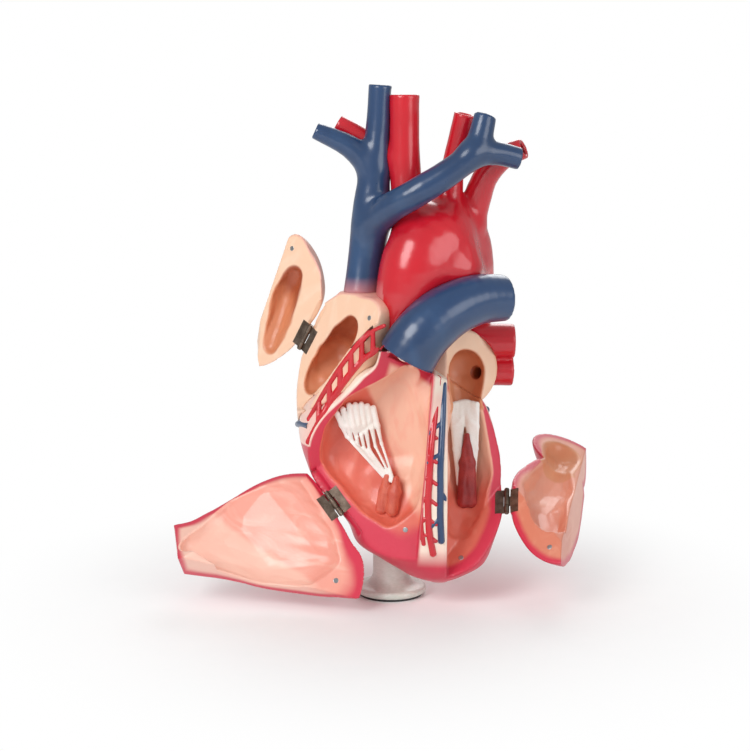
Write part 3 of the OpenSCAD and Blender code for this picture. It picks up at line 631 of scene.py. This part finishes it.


# Wall paints: flesh, shade colour painted on the hollows' shaded sides, ridge colour, rim width
HEART_WALL = muscle("heart_wall_paint", colour("f5bfa4"), SALMON, CORAL, 8)
RV_DOOR_WALL = muscle("right_door_paint", colour("f8c3b0"), colour("f2a391"), colour("fad3c0"), 3.5)
LH_DOOR_WALL = muscle("left_door_paint", colour("e89c82"), colour("dd8468"), colour("f2b094"), 3)
ATRIUM_WALL = atrium("atrium_paint")
# Vessel paints: base, lighter colour for painted highlight streaks, dark, bore, gloss
ARTERY = vessel("artery_paint", SCARLET, colour("e24352"), DARK_SCARLET, UMBER, 0.22)
VEIN = vessel("vein_paint", NAVY, SLATE, INK, UMBER, 0.26)
VALVE = moulding("valve_plastic", colour("faf8f4"), colour("ece6dc"), 14, 0.3)
RV_PAPILLARY = moulding("pale_papillary_paint", colour("e2765c"), colour("c9503f"), 10, 0.36, 0.3)
PAPILLARY = moulding("papillary_paint", colour("b43a36"), colour("8c2426"), 10, 0.36, 0.3)
STAND = moulding("stand_moulding", PALE_GREY, WARM_GREY, 40, 0.34, 0.06)
RUBBER = moulding("foot_rubber", colour("454648"), colour("303133"), 12, 0.7, 0.25, 0.0, True)
STEEL = moulding("hinge_steel", colour("8d7d70"), colour("54453c"), 6, 0.26, 0.05, 0.0, True,
                 Metallic=1.0)
BRASS = moulding("insert_brass", colour("c9a35a"), colour("95713a"), 8, 0.3, 0.05, 0.0, True,
                 Metallic=1.0)
NICKEL = moulding("magnet_nickel", colour("c4c6c8"), colour("8f9092"), 6, 0.22, 0.04, 0.0, False,
                  Metallic=1.0)


# ---- The heart ----

def bounded(box, margin=4):
    """Corners of a region in millimetres round a CAD node at rest."""
    return [c / MM - margin for c in box[0]], [c / MM + margin for c in box[1]]


def rounds(routes):
    """Field of several vessels together."""
    return lambda p: np.min([pipe(r)(p) for r in routes], axis=0)


FINE_VENT, FINE_RA = eased(VENT_RINGS, 8), eased(RA_RINGS, 8)


def on_skin(rings, x, z, side):
    """Point of a form's front (side -1) or back (side 1) skin."""
    order = np.argsort(rings[:, 0])
    cx, rx, cy, ry = (np.interp(z, rings[order, 0], rings[order, k]) for k in (1, 2, 3, 4))
    return [x, cy + side * ry * math.sqrt(max(0.02, 1 - ((x - cx) / rx) ** 2)), z]


def on_groove(x, z):
    """Front point of the ventricles or the right atrium, whichever stands further forward."""
    a, b = on_skin(FINE_VENT, x, z, -1), on_skin(FINE_RA, x, z, -1)
    return a if a[1] < b[1] else b


def round_atrium(angle, z):
    """Point on the right atrium's skin, at an angle from its right side towards the front."""
    cx, rx, cy, ry = (np.interp(z, FINE_RA[:, 0], FINE_RA[:, k]) for k in (1, 2, 3, 4))
    return [cx - rx * math.cos(math.radians(angle)), cy - ry * math.sin(math.radians(angle)), z]


CORONARY, SMALL, SINUS = 2.2, 1.5, 3.2
RAIL_LOW = [[-64, 118], [-60, 126], [-48, 150], [-36, 168], [-24, 184], [-12, 194], [-4, 198]]
RAIL_HIGH = [[-64, 136], [-60, 142], [-48, 164], [-36, 183], [-24, 199], [-12, 210], [-4, 214]]


def rail(table, radius):
    xs, zs = zip(*table)
    return [on_groove(x, float(np.interp(x, xs, zs))) + [radius] for x in range(-5, -62, -8)]


rail_low, rail_high = rail(RAIL_LOW, CORONARY), rail(RAIL_HIGH, SMALL)
FRONT_ARTERY = [on_skin(FINE_VENT, x, z, -1) + [CORONARY] for x, z in
                ((34, 174), (33, 160), (31, 142), (29, 124), (28, 104), (27, 84), (28, 64), (31, 46))]
FRONT_VEIN = [on_skin(FINE_VENT, x, z, -1) + [CORONARY] for x, z in
              ((39, 168), (38, 152), (37, 134), (36, 114), (36, 94), (36, 74), (37, 56))]
MARGIN_VEIN = [on_groove(x, z) + [CORONARY] for x, z in ((-52, 139), (-58, 136))] + [
    round_atrium(a, z) + [CORONARY] for a, z in
    ((26, 134), (12, 132), (0, 131), (-25, 130), (-50, 131), (-72, 133))]
BACK_VEIN = [on_skin(FINE_VENT, x, z, 1) + [SINUS] for x, z in
             ((72, 140), (56, 143), (36, 144), (14, 141), (-8, 136))]
BACK_ARTERY = [on_skin(FINE_VENT, x, z, 1) + [CORONARY] for x, z in
               ((10, 130), (16, 112), (21, 92), (26, 72), (31, 54))]
DOOR_VEIN = [on_skin(FINE_VENT, x, z, -1) + [SINUS] for x, z in ((48, 150), (60, 149), (70, 146))]

MID_LH = LH_HINGE[0] - 12 * LH_HINGE[1]
HINGE_SPOTS = (RV_HINGE, (MID_LH, LH_HINGE[1]), RA_HINGE)
HINGE_HALF, BARREL_ROOM = 11.4, 2.9
BEVEL_R, BEVEL_HALF, BEVEL_START = 4.6, 30.0, 10.0
SEAT_TOP, COLUMN_ROOM = 48.0, 13.7
VALVE_R, VALVE_BORE = 12.0, 6.0


def clear_of(value, p, *fields, gap=PIECE_GAP):
    """A shape trimmed back from its neighbours."""
    for field in fields:
        value = trim(value, -(field(p) + gap), EDGE)
    return value


def trunk_bore(p):
    """The round room of the pulmonary valve in the trunk's root."""
    along, away = about(TRUNK_ROOT, TRUNK_WAY, p)
    return np.maximum(away - VALVE_R, np.abs(along) - VALVE_BORE)


def hinge_rooms(value, p):
    """Clears the hinge barrels from a body, and bevels the seam on both sides of them."""
    for at, way in HINGE_SPOTS:
        along, away = about(at, way, p)
        along = np.abs(along)
        value = trim(value, -np.maximum(away - BARREL_ROOM, along - HINGE_HALF), 0.6)
        bevel = np.maximum(away - BEVEL_R, np.maximum(along - BEVEL_HALF, BEVEL_START - along))
        value = trim(value, -bevel, EDGE)
    return value


def heart_field(p):
    value = vent_form(p)
    for space in (rv_space, lh_space):
        value = trim(value, SEAM - space(p))
    for hollow in (rv_room, lv_room, la_room):
        value = trim(value, -hollow(p), HOLLOW_EDGE)
    value = trim(value, -trunk_bore(p), 1.0)
    column = np.maximum(np.linalg.norm(p[:, :2], axis=1) - COLUMN_ROOM, p[:, 2] - SEAT_TOP)
    value = trim(value, -column, 1.0)
    return hinge_rooms(value, p)


def ra_field(p):
    value = trim(ra_form(p), -(vent_form(p) + 0.2), 2.4)
    for space in (ra_space, rv_space):
        value = trim(value, SEAM - space(p))
    return hinge_rooms(trim(value, -ra_room(p), HOLLOW_EDGE), p)


def la_field(p):
    value = clear_of(la_form(p), p, vent_form, aorta_pipe)
    return trim(trim(value, SEAM - lh_space(p)), -la_room(p), HOLLOW_EDGE)


def near_routes(p, routes, reach):
    """1 on some vessels, falling off with the distance from them."""
    return np.exp(-(np.maximum(rounds(routes)(p), 0) / reach) ** 2)


def wall_marks(p, form, rooms, fat_routes=()):
    """Paint marks of a ventricle wall: the depth under the skin, how near a hollow, each painted patch,
    and where the hollows take painted shade.
    """
    depth = -form(p)
    room = np.min([r(p) for r in rooms], axis=0)
    marks = {"depth": np.clip(depth, -1, 40), "room": np.clip(room, -1, 25)}
    x, y, z = p.T
    left, right = -past(SEPTUM_LEFT, p), -past(SEPTUM_RIGHT, p)
    strip = np.clip(np.minimum(left - 3, right) / 2 + 1, 0, 1) * (y < -8) * np.clip((z - 34) / 14, 0, 1)
    groove = np.clip((0.5 - past(GROOVE_RV, p)) / 2, 0, 1) * (y < 10) * (x < 2) * (z > 120)
    marks["strip"] = np.maximum(strip, groove)
    marks["fat"] = near_routes(p, fat_routes, 7) if fat_routes else np.zeros(len(p))
    # Painted shade in the hollows: left of x 24 the shade lies left of a sloping line and low down;
    # further right it grows darker towards the bottom
    right_side = np.clip((x + 18 - 0.344 * (165 - z)) / 10 + 0.5, 0, 1) * np.clip((z - 62) / 26, 0, 1)
    marks["pale"] = np.where(x < 24, right_side, np.clip((z - 60) / 60, 0, 1))
    marks["tan"] = np.clip((z - 141) / 2, 0, 1) * (x > 38) * (room < 3)
    along, away = about(TRUNK_ROOT, TRUNK_WAY, p)
    crescent = np.clip((along + 9) / 1.5, 0, 1) * (along < 0.5) * (away < 20.5) * (y < -30) * (x > -3)
    marks["ivory"] = crescent * np.clip((-0.6 - past(RV_TRUNK, p)) + 2, 0, 1)
    return marks


def vessel_marks(p, routes):
    """Paint marks of a vessel: the dark bore in its ends, and the upper cava's pink foot."""
    bore_mark = np.zeros(len(p))
    for route in routes:
        spot, way, bore = end_of(route)
        along, away = about(spot, way, p)
        here = np.clip((bore + 1.0 - away) / 1.2, 0, 1) * (along > -VESSEL_DEPTH - 2) * (along < 1)
        bore_mark = np.maximum(bore_mark, here * np.clip((-0.4 - along) / 1.5, 0, 1))
    foot = np.clip((244 - p[:, 2]) / 12, 0, 1) * (p[:, 2] > 225) * (p[:, 0] < -6) * (p[:, 1] < 20)
    return {"bore": bore_mark, "foot": foot}


# Mesh sizes in millimetres of walls, doors, small vessels and the cusps
STEP, DOOR_STEP, FINE_STEP, CUSP_STEP = ((1.4, 1.0, 0.7, 0.5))


def make(name, field, region, body, finish, nodes, slot, marker=None, step=STEP):
    """A piece made from a field, with its paint marks worked out by a marker."""
    points, faces = skin(field, region[0], region[1], step)
    marks = marker(points) if marker else None
    return piece(name, (points, faces), body, finish, nodes, slot, marks)


BACK_ROUTES = (BACK_VEIN, BACK_ARTERY, MARGIN_VEIN)
make("ventricle_walls", heart_field, ([-74, -66, 14], [88, 54, 194]), "heart", HEART_WALL,
     ["ventricles"], "heart_muscle_plastic",
     lambda p: wall_marks(p, vent_form, (rv_room, lv_room, la_room), BACK_ROUTES))


def ra_marks(p):
    marks = {"depth": np.clip(-ra_form(p), -1, 40), "room": np.clip(ra_room(p), -1, 25)}
    marks["blush"] = np.clip((p[:, 2] - 218) / 14, 0, 1)
    # Darker rust towards the top of the hollow
    marks["deep"] = np.clip((p[:, 2] - 176) / 26, 0, 1)
    marks["red"] = np.clip((past(GROOVE_RV, p) + 2.4) / 0.8, 0, 1) * (p[:, 1] < 0)
    return marks


def la_marks(p):
    marks = {"depth": np.clip(-la_form(p), -1, 40), "room": np.clip(la_room(p), -1, 25)}
    marks["blush"] = np.clip((60 - p[:, 0]) / 60, 0, 0.4)
    # Darker rust towards the top, and painted shade darkening the left vein's mouth
    mouth = rod(p, (64, 20, 168), (72, 29, 167), 5, 5)
    marks["deep"] = np.maximum(np.clip((p[:, 2] - 166) / 30, 0, 0.6), np.clip(1 - mouth, 0, 1))
    marks["red"] = np.zeros(len(p))
    return marks


make("right_atrium_walls", ra_field, ([-80, -42, 100], [12, 50, 236]), "heart", ATRIUM_WALL,
     ["right_atrium"], "atrium_plastic", ra_marks)
make("left_atrium_walls", la_field, ([4, -30, 136], [86, 62, 208]), "heart", ATRIUM_WALL,
     ["left_atrium"], "atrium_plastic", la_marks)


def rv_door_field(p):
    value = trim(trim(vent_form(p), rv_space(p) + SEAM), -rv_room(p), HOLLOW_EDGE)
    return hinge_rooms(value, p)


def lh_door_field(p):
    value = trim(meet(vent_form(p), la_form(p), 1.5), lh_space(p) + SEAM)
    for hollow in (lv_room, la_room):
        value = trim(value, -hollow(p), HOLLOW_EDGE)
    return hinge_rooms(value, p)


def ra_door_field(p):
    value = clear_of(trim(ra_form(p), ra_space(p) + SEAM), p, vent_form, gap=-0.2)
    return hinge_rooms(trim(value, -ra_room(p), HOLLOW_EDGE), p)


def left_form(p):
    return np.minimum(vent_form(p), la_form(p))


make("right_ventricle_door_wall", rv_door_field, ([-72, -66, 36], [34, 4, 198]),
     "right_ventricle_door", RV_DOOR_WALL, ["right_ventricle_door"], "heart_muscle_plastic",
     lambda p: wall_marks(p, vent_form, (rv_room,)), DOOR_STEP)
make("left_heart_door_wall", lh_door_field, ([36, -60, 14], [90, 50, 208]),
     "left_heart_door", LH_DOOR_WALL, ["left_heart_door"], "heart_muscle_plastic",
     lambda p: wall_marks(p, left_form, (lv_room, la_room)), DOOR_STEP)
make("right_atrium_door_wall", ra_door_field, ([-80, -50, 140], [12, 36, 236]),
     "right_atrium_door", ATRIUM_WALL, ["right_atrium_door"], "atrium_plastic", ra_marks, DOOR_STEP)


# ---- Great vessels ----

def branches(stem, routes, soft):
    """Field of a vessel with its branches blended into it."""
    def field(p):
        value = stem(p)
        for r in routes:
            value = meet(value, pipe(r)(p), soft)
        return value
    return field


AORTA_BRANCHES = (RIGHT_HEAD_ARTERY, RIGHT_ARM_ARTERY, LEFT_HEAD_ARTERY, LEFT_ARM_ARTERY)
CAVA_BRANCHES = (RIGHT_ARM_VEIN, LEFT_HEAD_VEIN, LEFT_ARM_VEIN)
arch_fill = spanned(ARCH_BELLY)
aorta_all = branches(lambda p: meet(aorta_pipe(p), arch_fill(p), 9), AORTA_BRANCHES, 7)
cava_all = branches(pipe(UPPER_CAVA), CAVA_BRANCHES, 6)


def ended(value, p, routes):
    for route in routes:
        value = opened(value, p, route)
    return value


def aorta_field(p):
    value = aorta_all(p) + 0.25 * ripple(p, 34, 4)
    value = clear_of(value, p, vent_form, ra_form, trunk_pipe)
    return ended(value, p, (AORTA,) + AORTA_BRANCHES)


def cava_field(p):
    value = clear_of(cava_all(p) + 0.2 * ripple(p, 30, 8), p, ra_form)
    value = clear_of(value, p, aorta_all, gap=0.4)
    return ended(value, p, (UPPER_CAVA,) + CAVA_BRANCHES)


def trunk_field(p):
    value = clear_of(trunk_pipe(p) + 0.2 * ripple(p, 30, 9), p, vent_form)
    value = trim(value, -0.4 - past((TRUNK_ROOT, TRUNK_WAY), p), 0.6)
    value = trim(value, -trunk_bore(p), 1.0)
    return ended(value, p, (TRUNK,))


def lung_artery_field(p):
    value = clear_of(pipe(RIGHT_LUNG_ARTERY)(p), p, trunk_pipe, aorta_pipe, vent_form)
    return ended(value, p, (RIGHT_LUNG_ARTERY,))


def lower_cava_field(p):
    value = clear_of(pipe(LOWER_CAVA)(p), p, vent_form, ra_form)
    return ended(value, p, (LOWER_CAVA,))


def left_vein_field(p):
    value = meet(pipe(LEFT_LUNG_VEINS[0])(p), pipe(LEFT_LUNG_VEINS[1])(p), 3)
    value = clear_of(clear_of(value, p, la_form, vent_form), p, aorta_pipe, gap=0.4)
    return ended(value, p, LEFT_LUNG_VEINS)


def right_vein_field(p):
    value = meet(pipe(RIGHT_LUNG_VEINS[0])(p), pipe(RIGHT_LUNG_VEINS[1])(p), 3)
    return ended(clear_of(value, p, la_form, ra_form), p, RIGHT_LUNG_VEINS)


for name, field, node, finish, slot, ends in (
        ("aortic_arch", aorta_field, "aorta", ARTERY, "artery_plastic", (AORTA,) + AORTA_BRANCHES),
        ("upper_cava_tree", cava_field, "superior_vena_cava", VEIN, "vein_plastic",
         (UPPER_CAVA,) + CAVA_BRANCHES),
        ("pulmonary_trunk_tube", trunk_field, "pulmonary_trunk", VEIN, "vein_plastic", (TRUNK,)),
        ("right_lung_artery_tube", lung_artery_field, "right_pulmonary_artery", VEIN, "vein_plastic",
         (RIGHT_LUNG_ARTERY,)),
        ("lower_cava_tube", lower_cava_field, "inferior_vena_cava", VEIN, "vein_plastic", (LOWER_CAVA,)),
        ("left_lung_vein_tubes", left_vein_field, "left_pulmonary_veins", ARTERY, "artery_plastic",
         LEFT_LUNG_VEINS),
        ("right_lung_vein_tubes", right_vein_field, "right_pulmonary_veins", ARTERY, "artery_plastic",
         RIGHT_LUNG_VEINS)):
    make(name, field, bounded(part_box(node)), "heart", finish, [node], slot,
         lambda p, ends=ends: vessel_marks(p, ends))


# ---- Vessels on the heart ----

def doors_clear(value, p, gap):
    """Trims a shape back from the space of every door."""
    for space in (rv_space, lh_space, ra_space):
        value = trim(value, gap - space(p), 0.5)
    return value


def relief_vessel(routes, bases, clear=True):
    """A vessel half sunk in the heart, with a soft foot where it meets the wall."""
    def field(p):
        tube = rounds(routes)(p)
        base = np.min([b(p) for b in bases], axis=0)
        value = np.maximum(meet(tube, base + 0.5, 1.6), tube - 1.6)
        value = np.maximum(value, -base - 1.5)
        return doors_clear(value, p, 2 * SEAM) if clear else value
    return field


def strip_route(radius, *spots):
    """Route of a twig on the front of the ventricles."""
    return [on_skin(FINE_VENT, x, z, -1) + [radius] for x, z in spots]


STRIP_TWIGS = [strip_route(1.3, (36, 170), (30, 164), (24.5, 150), (23.5, 120), (22.5, 96), (22, 70),
                           (24, 54))] + [
    strip_route(1.1, (22.5, z), (26, z + 3), (33, z - 2)) for z in (150, 134, 117, 101, 86, 71, 58)]
VEIN_TWIGS = [strip_route(1.2, *spots) for spots in (
    ((38, 143), (33, 140), (27, 135)), ((37, 121), (32, 119), (27, 115)), ((36, 94), (39, 89), (41, 87)),
    ((36, 74), (32, 70), (28, 66)))]
forms = (vent_form, ra_form, la_form)
rungs = [[a, b[:3] + [SMALL]] for a, b in zip(rail_low[1:-1], rail_high[1:-1])]
for name, routes, node, finish, slot in (
        ("groove_artery_ladder", [rail_low, rail_high] + rungs, "right_coronary_artery", ARTERY,
         "artery_plastic"),
        ("front_strip_artery", [FRONT_ARTERY] + STRIP_TWIGS, "anterior_interventricular_artery", ARTERY,
         "artery_plastic"),
        ("front_strip_vein", [FRONT_VEIN] + VEIN_TWIGS, "great_cardiac_vein", VEIN, "vein_plastic"),
        ("margin_vein", [MARGIN_VEIN], "small_cardiac_vein", VEIN, "vein_plastic"),
        ("back_groove_vein", [BACK_VEIN], "coronary_sinus", VEIN, "vein_plastic"),
        ("back_strip_artery", [BACK_ARTERY], "posterior_interventricular_artery", ARTERY,
         "artery_plastic")):
    make(name, relief_vessel(routes, forms), bounded(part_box(node), 8), "heart", finish, [node], slot,
         step=FINE_STEP)


# ---- Valves and papillary muscles ----

def strands(rods, soft):
    """Field of rods blended together."""
    def field(p):
        value = np.full(len(p), FAR, np.float32)
        for a, b in rods:
            value = meet(value, rod(p, a[:3], b[:3], a[3], b[3]), soft)
        return value
    return field


def fan(tops, feet, tips, count, top_r, foot_r, bow):
    """Strands of a valve leaflet: merged near its top edge, parted lower down."""
    tops, feet, tips = (np.array(t, float) for t in (tops, feet, tips))
    rods = []
    for k in range(count):
        t = k / (count - 1)
        line = [np.array([np.interp(t, np.linspace(0, 1, len(row)), row[:, c]) for c in range(3)])
                for row in (tops, feet, tips)]
        mid = (line[0] + line[1]) / 2 + np.array([0, -bow * math.sin(math.pi * t), 0])
        rods += [(list(line[0]) + [top_r], list(mid) + [top_r * 0.9]),
                 (list(mid) + [top_r * 0.9], list(line[1]) + [foot_r]),
                 (list(line[1]) + [foot_r], list(line[2]) + [0.8])]
    return rods


TRICUSPID = fan([[-40, -26, 145], [-31, -25, 151], [-22, -21, 151], [-13, -19, 148]],
                [[-33, -19, 126], [-24, -17, 118], [-16, -17, 116], [-7, -19, 121]],
                [[-4, -25, 95], [3, -28, 93]], 7, 2.1, 1.0, 1)
MITRAL = fan([[46, 5, 146], [52, 7, 147], [55.5, 8, 147]], [[48, 3, 112], [51, 4, 120], [54, 5, 130]],
             [[51, 1, 85], [51.5, 1, 86], [52.5, 1, 98]], 5, 2.1, 1.3, 1) + fan(
    [[55.5, 8, 147], [59, 8, 147], [65, 6, 146]], [[58, 5, 130], [61, 4, 120], [65, 4, 112]],
    [[61, 1, 98], [62.5, 1, 86], [63, 1, 85]], 5, 2.1, 1.3, 1)
RV_MUSCLES = [([-3, -25, 97, 2.4], [-4, -24, 86, 4.5]), ([-4, -24, 86, 4.5], [-7, -24, 72, 5]),
              ([4, -28, 96, 2.4], [3, -29, 86, 4.5]), ([3, -29, 86, 4.5], [1, -30, 73, 5])]
LV_MUSCLES = [([56.8, 2, 123, 1.2], [55.6, 2, 102, 4.2]), ([55.6, 2, 102, 4.2], [55, 0, 72, 5]),
              ([58.2, 2, 123, 1.2], [59.9, 2, 102, 4.2]), ([59.9, 2, 102, 4.2], [60.5, 0, 72, 5])]


def behind(field, space):
    """Field kept clear of a closed door."""
    return lambda p: trim(field(p), SEAM + 0.3 - space(p), 0.5)


def muscle_field(rods, space):
    """Papillary muscle with ridges along it."""
    column = strands(rods, 2.5)
    along = np.array([1, 1, 0.3], np.float32)
    return behind(lambda p: column(p) + 0.35 * ripple(p * along, 6, 12), space)


for name, field, node, finish, slot in (
        ("tricuspid_leaflets", behind(strands(TRICUSPID, 1.6), rv_space), "tricuspid_valve", VALVE,
         "valve_plastic"),
        ("mitral_leaflets", behind(strands(MITRAL, 1.6), lh_space), "mitral_valve", VALVE,
         "valve_plastic"),
        ("right_papillary_columns", muscle_field(RV_MUSCLES, rv_space), "right_papillary_muscles",
         RV_PAPILLARY, "papillary_plastic"),
        ("left_papillary_columns", muscle_field(LV_MUSCLES, lh_space), "left_papillary_muscles",
         PAPILLARY, "papillary_plastic")):
    make(name, field, bounded(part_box(node), 6), "heart", finish, [node], slot, step=FINE_STEP)


def cusp_field(p):
    """Three pocket cusps in a ring, in the trunk's root."""
    side = unit(np.cross(TRUNK_WAY, [0, 1, 0]))
    other = np.cross(TRUNK_WAY, side)
    rel = p - (TRUNK_ROOT + 0.2 * TRUNK_WAY)
    x, y, z = rel @ side, rel @ other, rel @ TRUNK_WAY
    away = np.hypot(x, y)
    value = np.hypot(away - 11.2, np.clip(np.abs(z) - 0.8, 0, None)) - 0.9
    for k in range(3):
        a = 2 * math.pi * k / 3 + math.pi / 3
        flat = (x - 6.4 * math.cos(a)) ** 2 + (y - 6.4 * math.sin(a)) ** 2
        ball = np.sqrt(flat + (1.15 * z - 2.6) ** 2)
        pocket = np.maximum(np.abs(ball - 5.9) - 0.55, z - 1.6)
        value = meet(value, pocket, 0.5)
    return np.maximum(value, away - 12)


make("pulmonary_cusps", cusp_field, bounded(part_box("pulmonary_valve"), 3), "heart", VALVE,
     ["pulmonary_valve"], "valve_plastic", step=CUSP_STEP)

door_vein_shape = relief_vessel([DOOR_VEIN], (vent_form, la_form), False)
make("left_door_groove_vein", lambda p: trim(door_vein_shape(p), lh_space(p) + SEAM, 0.6),
     ([40, -66, 138], [80, -20, 160]), "left_heart_door", VEIN, ["left_heart_door_vein"], "vein_plastic",
     step=FINE_STEP)


# ---- Stand and fittings ----

def ring_faces(rings, sides):
    """Four-sided faces between rings of points."""
    return np.array([[i * sides + k, i * sides + (k + 1) % sides,
                      (i + 1) * sides + (k + 1) % sides, (i + 1) * sides + k]
                     for i in range(rings - 1) for k in range(sides)])


def turned(name, profile, finish, node, slot, sides=144):
    """A turned piece on the Z axis from its half profile of [radius, height]."""
    profile = eased(profile, 3)
    angle = 2 * math.pi * np.arange(sides) / sides
    points = np.array([[r * math.cos(a), r * math.sin(a), z] for r, z in profile for a in angle])
    return piece(name, (points, ring_faces(len(profile), sides)), "heart", finish, [node], slot)


FOOT = [[17.2, 8.0], [17.2, 3.0], [17.2, 1.65], [18.0, 1.6], [23.0, 1.6], [24.3, 1.65],
        [26.0, 2.4], [26.9, 3.8], [26.9, 5.4], [26.0, 6.9], [24.6, 7.5], [23.0, 7.7],
        [20.5, 8.2], [18.0, 9.4], [15.8, 11.6], [14.2, 14.4], [13.6, 17.5],
        [13.5, 21.0], [13.5, 34.0], [13.5, 47.2], [13.3, 47.8], [12.6, 48.0], [3.2, 48.0],
        [3.1, 47.9], [3.1, 30.0], [3.1, 8.1], [3.2, 8.0], [17.2, 8.0]]
turned("turned_foot", FOOT, STAND, "stand_foot", "stand_plastic")

CAD_FINISHES = {"foot_pad": RUBBER, "threaded_insert": BRASS}
CAD_FINISHES.update({node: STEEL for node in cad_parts
                     if any(word in node for word in ("leaf", "pin", "screw", "washer", "weight"))})
for node, finish in CAD_FINISHES.items():
    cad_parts[node].data.materials.clear()
    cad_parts[node].data.materials.append(finish)

MAGNET_R = 2.0
# Hinge point and line, cut face, and distances across and along it
MAGNET_SPOTS = {"right_ventricle": (RV_HINGE[0], RV_HINGE[1], RV_FACE[1], 32, 48),
                "left_heart": (MID_LH, LH_HINGE[1], LH_FACE[1], 34, -46),
                "right_atrium": (RA_HINGE[0], -RA_HINGE[1], RA_FACE[1], 50, -48)}


def magnet_shape(spot, side):
    """A chamfered disc let into a cut face; side -1 in the heart, 1 in a door."""
    at, along, face, a, b = spot
    middle = at + a * np.cross(face, along) + b * along
    x, n = np.cross(face, along), face * side
    rows = [(0.01, 0.05), (1.5, 0.05), (MAGNET_R - 0.15, 0.05), (MAGNET_R, 0.2), (MAGNET_R, 2.8),
            (0.01, 2.8)]
    sides = 40
    points = [middle + n * (SEAM - 0.12 + d) + r * (math.cos(t) * x + math.sin(t) * along)
              for r, d in rows for t in 2 * math.pi * np.arange(sides) / sides]
    return np.array(points), ring_faces(len(rows), sides)


seats = [magnet_shape(spot, -1) for spot in MAGNET_SPOTS.values()]
count = len(seats[0][0])
piece("seam_magnet_discs", (np.concatenate([s[0] for s in seats]),
                            np.concatenate([s[1] + k * count for k, s in enumerate(seats)])),
      "heart", NICKEL, ["seam_magnets"], "magnet_nickel")
for door, spot in MAGNET_SPOTS.items():
    piece(door + "_magnet_disc", magnet_shape(spot, 1), door + "_door", NICKEL, [door + "_door_magnet"],
          "magnet_nickel")


# ---- Studio ----

def lamp(name, where, target, size, power):
    light = bpy.data.lights.new(name, "AREA")
    light.shape, light.size, light.energy = "DISK", size, power
    made = bpy.data.objects.new(name, light)
    made.location = where
    made.rotation_euler = (Vector(target) - Vector(where)).to_track_quat("-Z", "Y").to_euler()
    bpy.context.scene.collection.objects.link(made)


MIDDLE = (0.0, 0.0, 0.2)
lamp("front_left_softbox", (-1.1, -1.5, 1.3), MIDDLE, 1.2, 25)
lamp("front_right_softbox", (1.4, -1.2, 0.8), MIDDLE, 1.2, 9)
lamp("back_softbox", (0.3, 1.6, 1.2), MIDDLE, 1.2, 9)

ROOM_LIGHT = 0.46
world = bpy.data.worlds.new("studio_air")
bpy.context.scene.world = world
world.use_nodes = True
air = Tree(world.node_tree)
seen = air.node("ShaderNodeLightPath").outputs["Is Camera Ray"]
level = air.node("ShaderNodeMapRange", None, {"Value": seen, "To Min": ROOM_LIGHT, "To Max": 1.0})
backing = air.nodes["Background"]
air.feed(backing.inputs["Strength"], level.outputs[0])
air.feed(backing.inputs["Color"], (1, 1, 1, 1))

HALF = 6.0
CORNERS = [(-HALF, -HALF, 0), (HALF, -HALF, 0), (HALF, HALF, 0), (-HALF, HALF, 0)]
floor_mesh = bpy.data.meshes.new("studio_floor")
floor_mesh.from_pydata(CORNERS, [], [(0, 1, 2, 3)])
floor = bpy.data.objects.new("studio_floor", floor_mesh)
bpy.context.scene.collection.objects.link(floor)
floor_paint = moulding("floor_paint", (0.98, 0.98, 0.98, 1), (0.96, 0.96, 0.96, 1), 300, 0.8,
                       0.0, 0.0, True)

# Away from the stand the camera sees the floor fade to plain white
ground = Tree(floor_paint.node_tree)
spot = ground.node("ShaderNodeTexCoord").outputs["Object"]
reach = ground.node("ShaderNodeVectorMath", {"operation": "LENGTH"}, {0: spot}).outputs["Value"]
seen = Tone(ground, ground.node("ShaderNodeLightPath").outputs["Is Camera Ray"])
blended = ground.node("ShaderNodeMixShader", None, {
    0: Tone(ground, reach).fade(0.05, 0.34) * seen,
    1: ground.nodes["Principled BSDF"].outputs[0],
    2: ground.node("ShaderNodeEmission").outputs[0]})
ground.feed(ground.nodes["Material Output"].inputs["Surface"], blended.outputs[0])
floor_mesh.materials.append(floor_paint)

SENSOR, FOCAL_PIXELS, PHOTO_HEIGHT = 36, 1689, 751
camera_data = bpy.data.cameras.new("photo_camera")
camera = bpy.data.objects.new("photo_camera", camera_data)
camera.location = (0.0, -1.25, 0.380)
sight = Vector((-0.012, 0.0, 0.169)) - camera.location
camera.rotation_euler = sight.to_track_quat("-Z", "Y").to_euler()
camera_data.sensor_width = SENSOR
camera_data.lens = FOCAL_PIXELS / PHOTO_HEIGHT * SENSOR
camera_data.clip_end = 40
bpy.context.scene.collection.objects.link(camera)
bpy.context.scene.camera = camera
bpy.context.scene.view_settings.view_transform = "Standard"
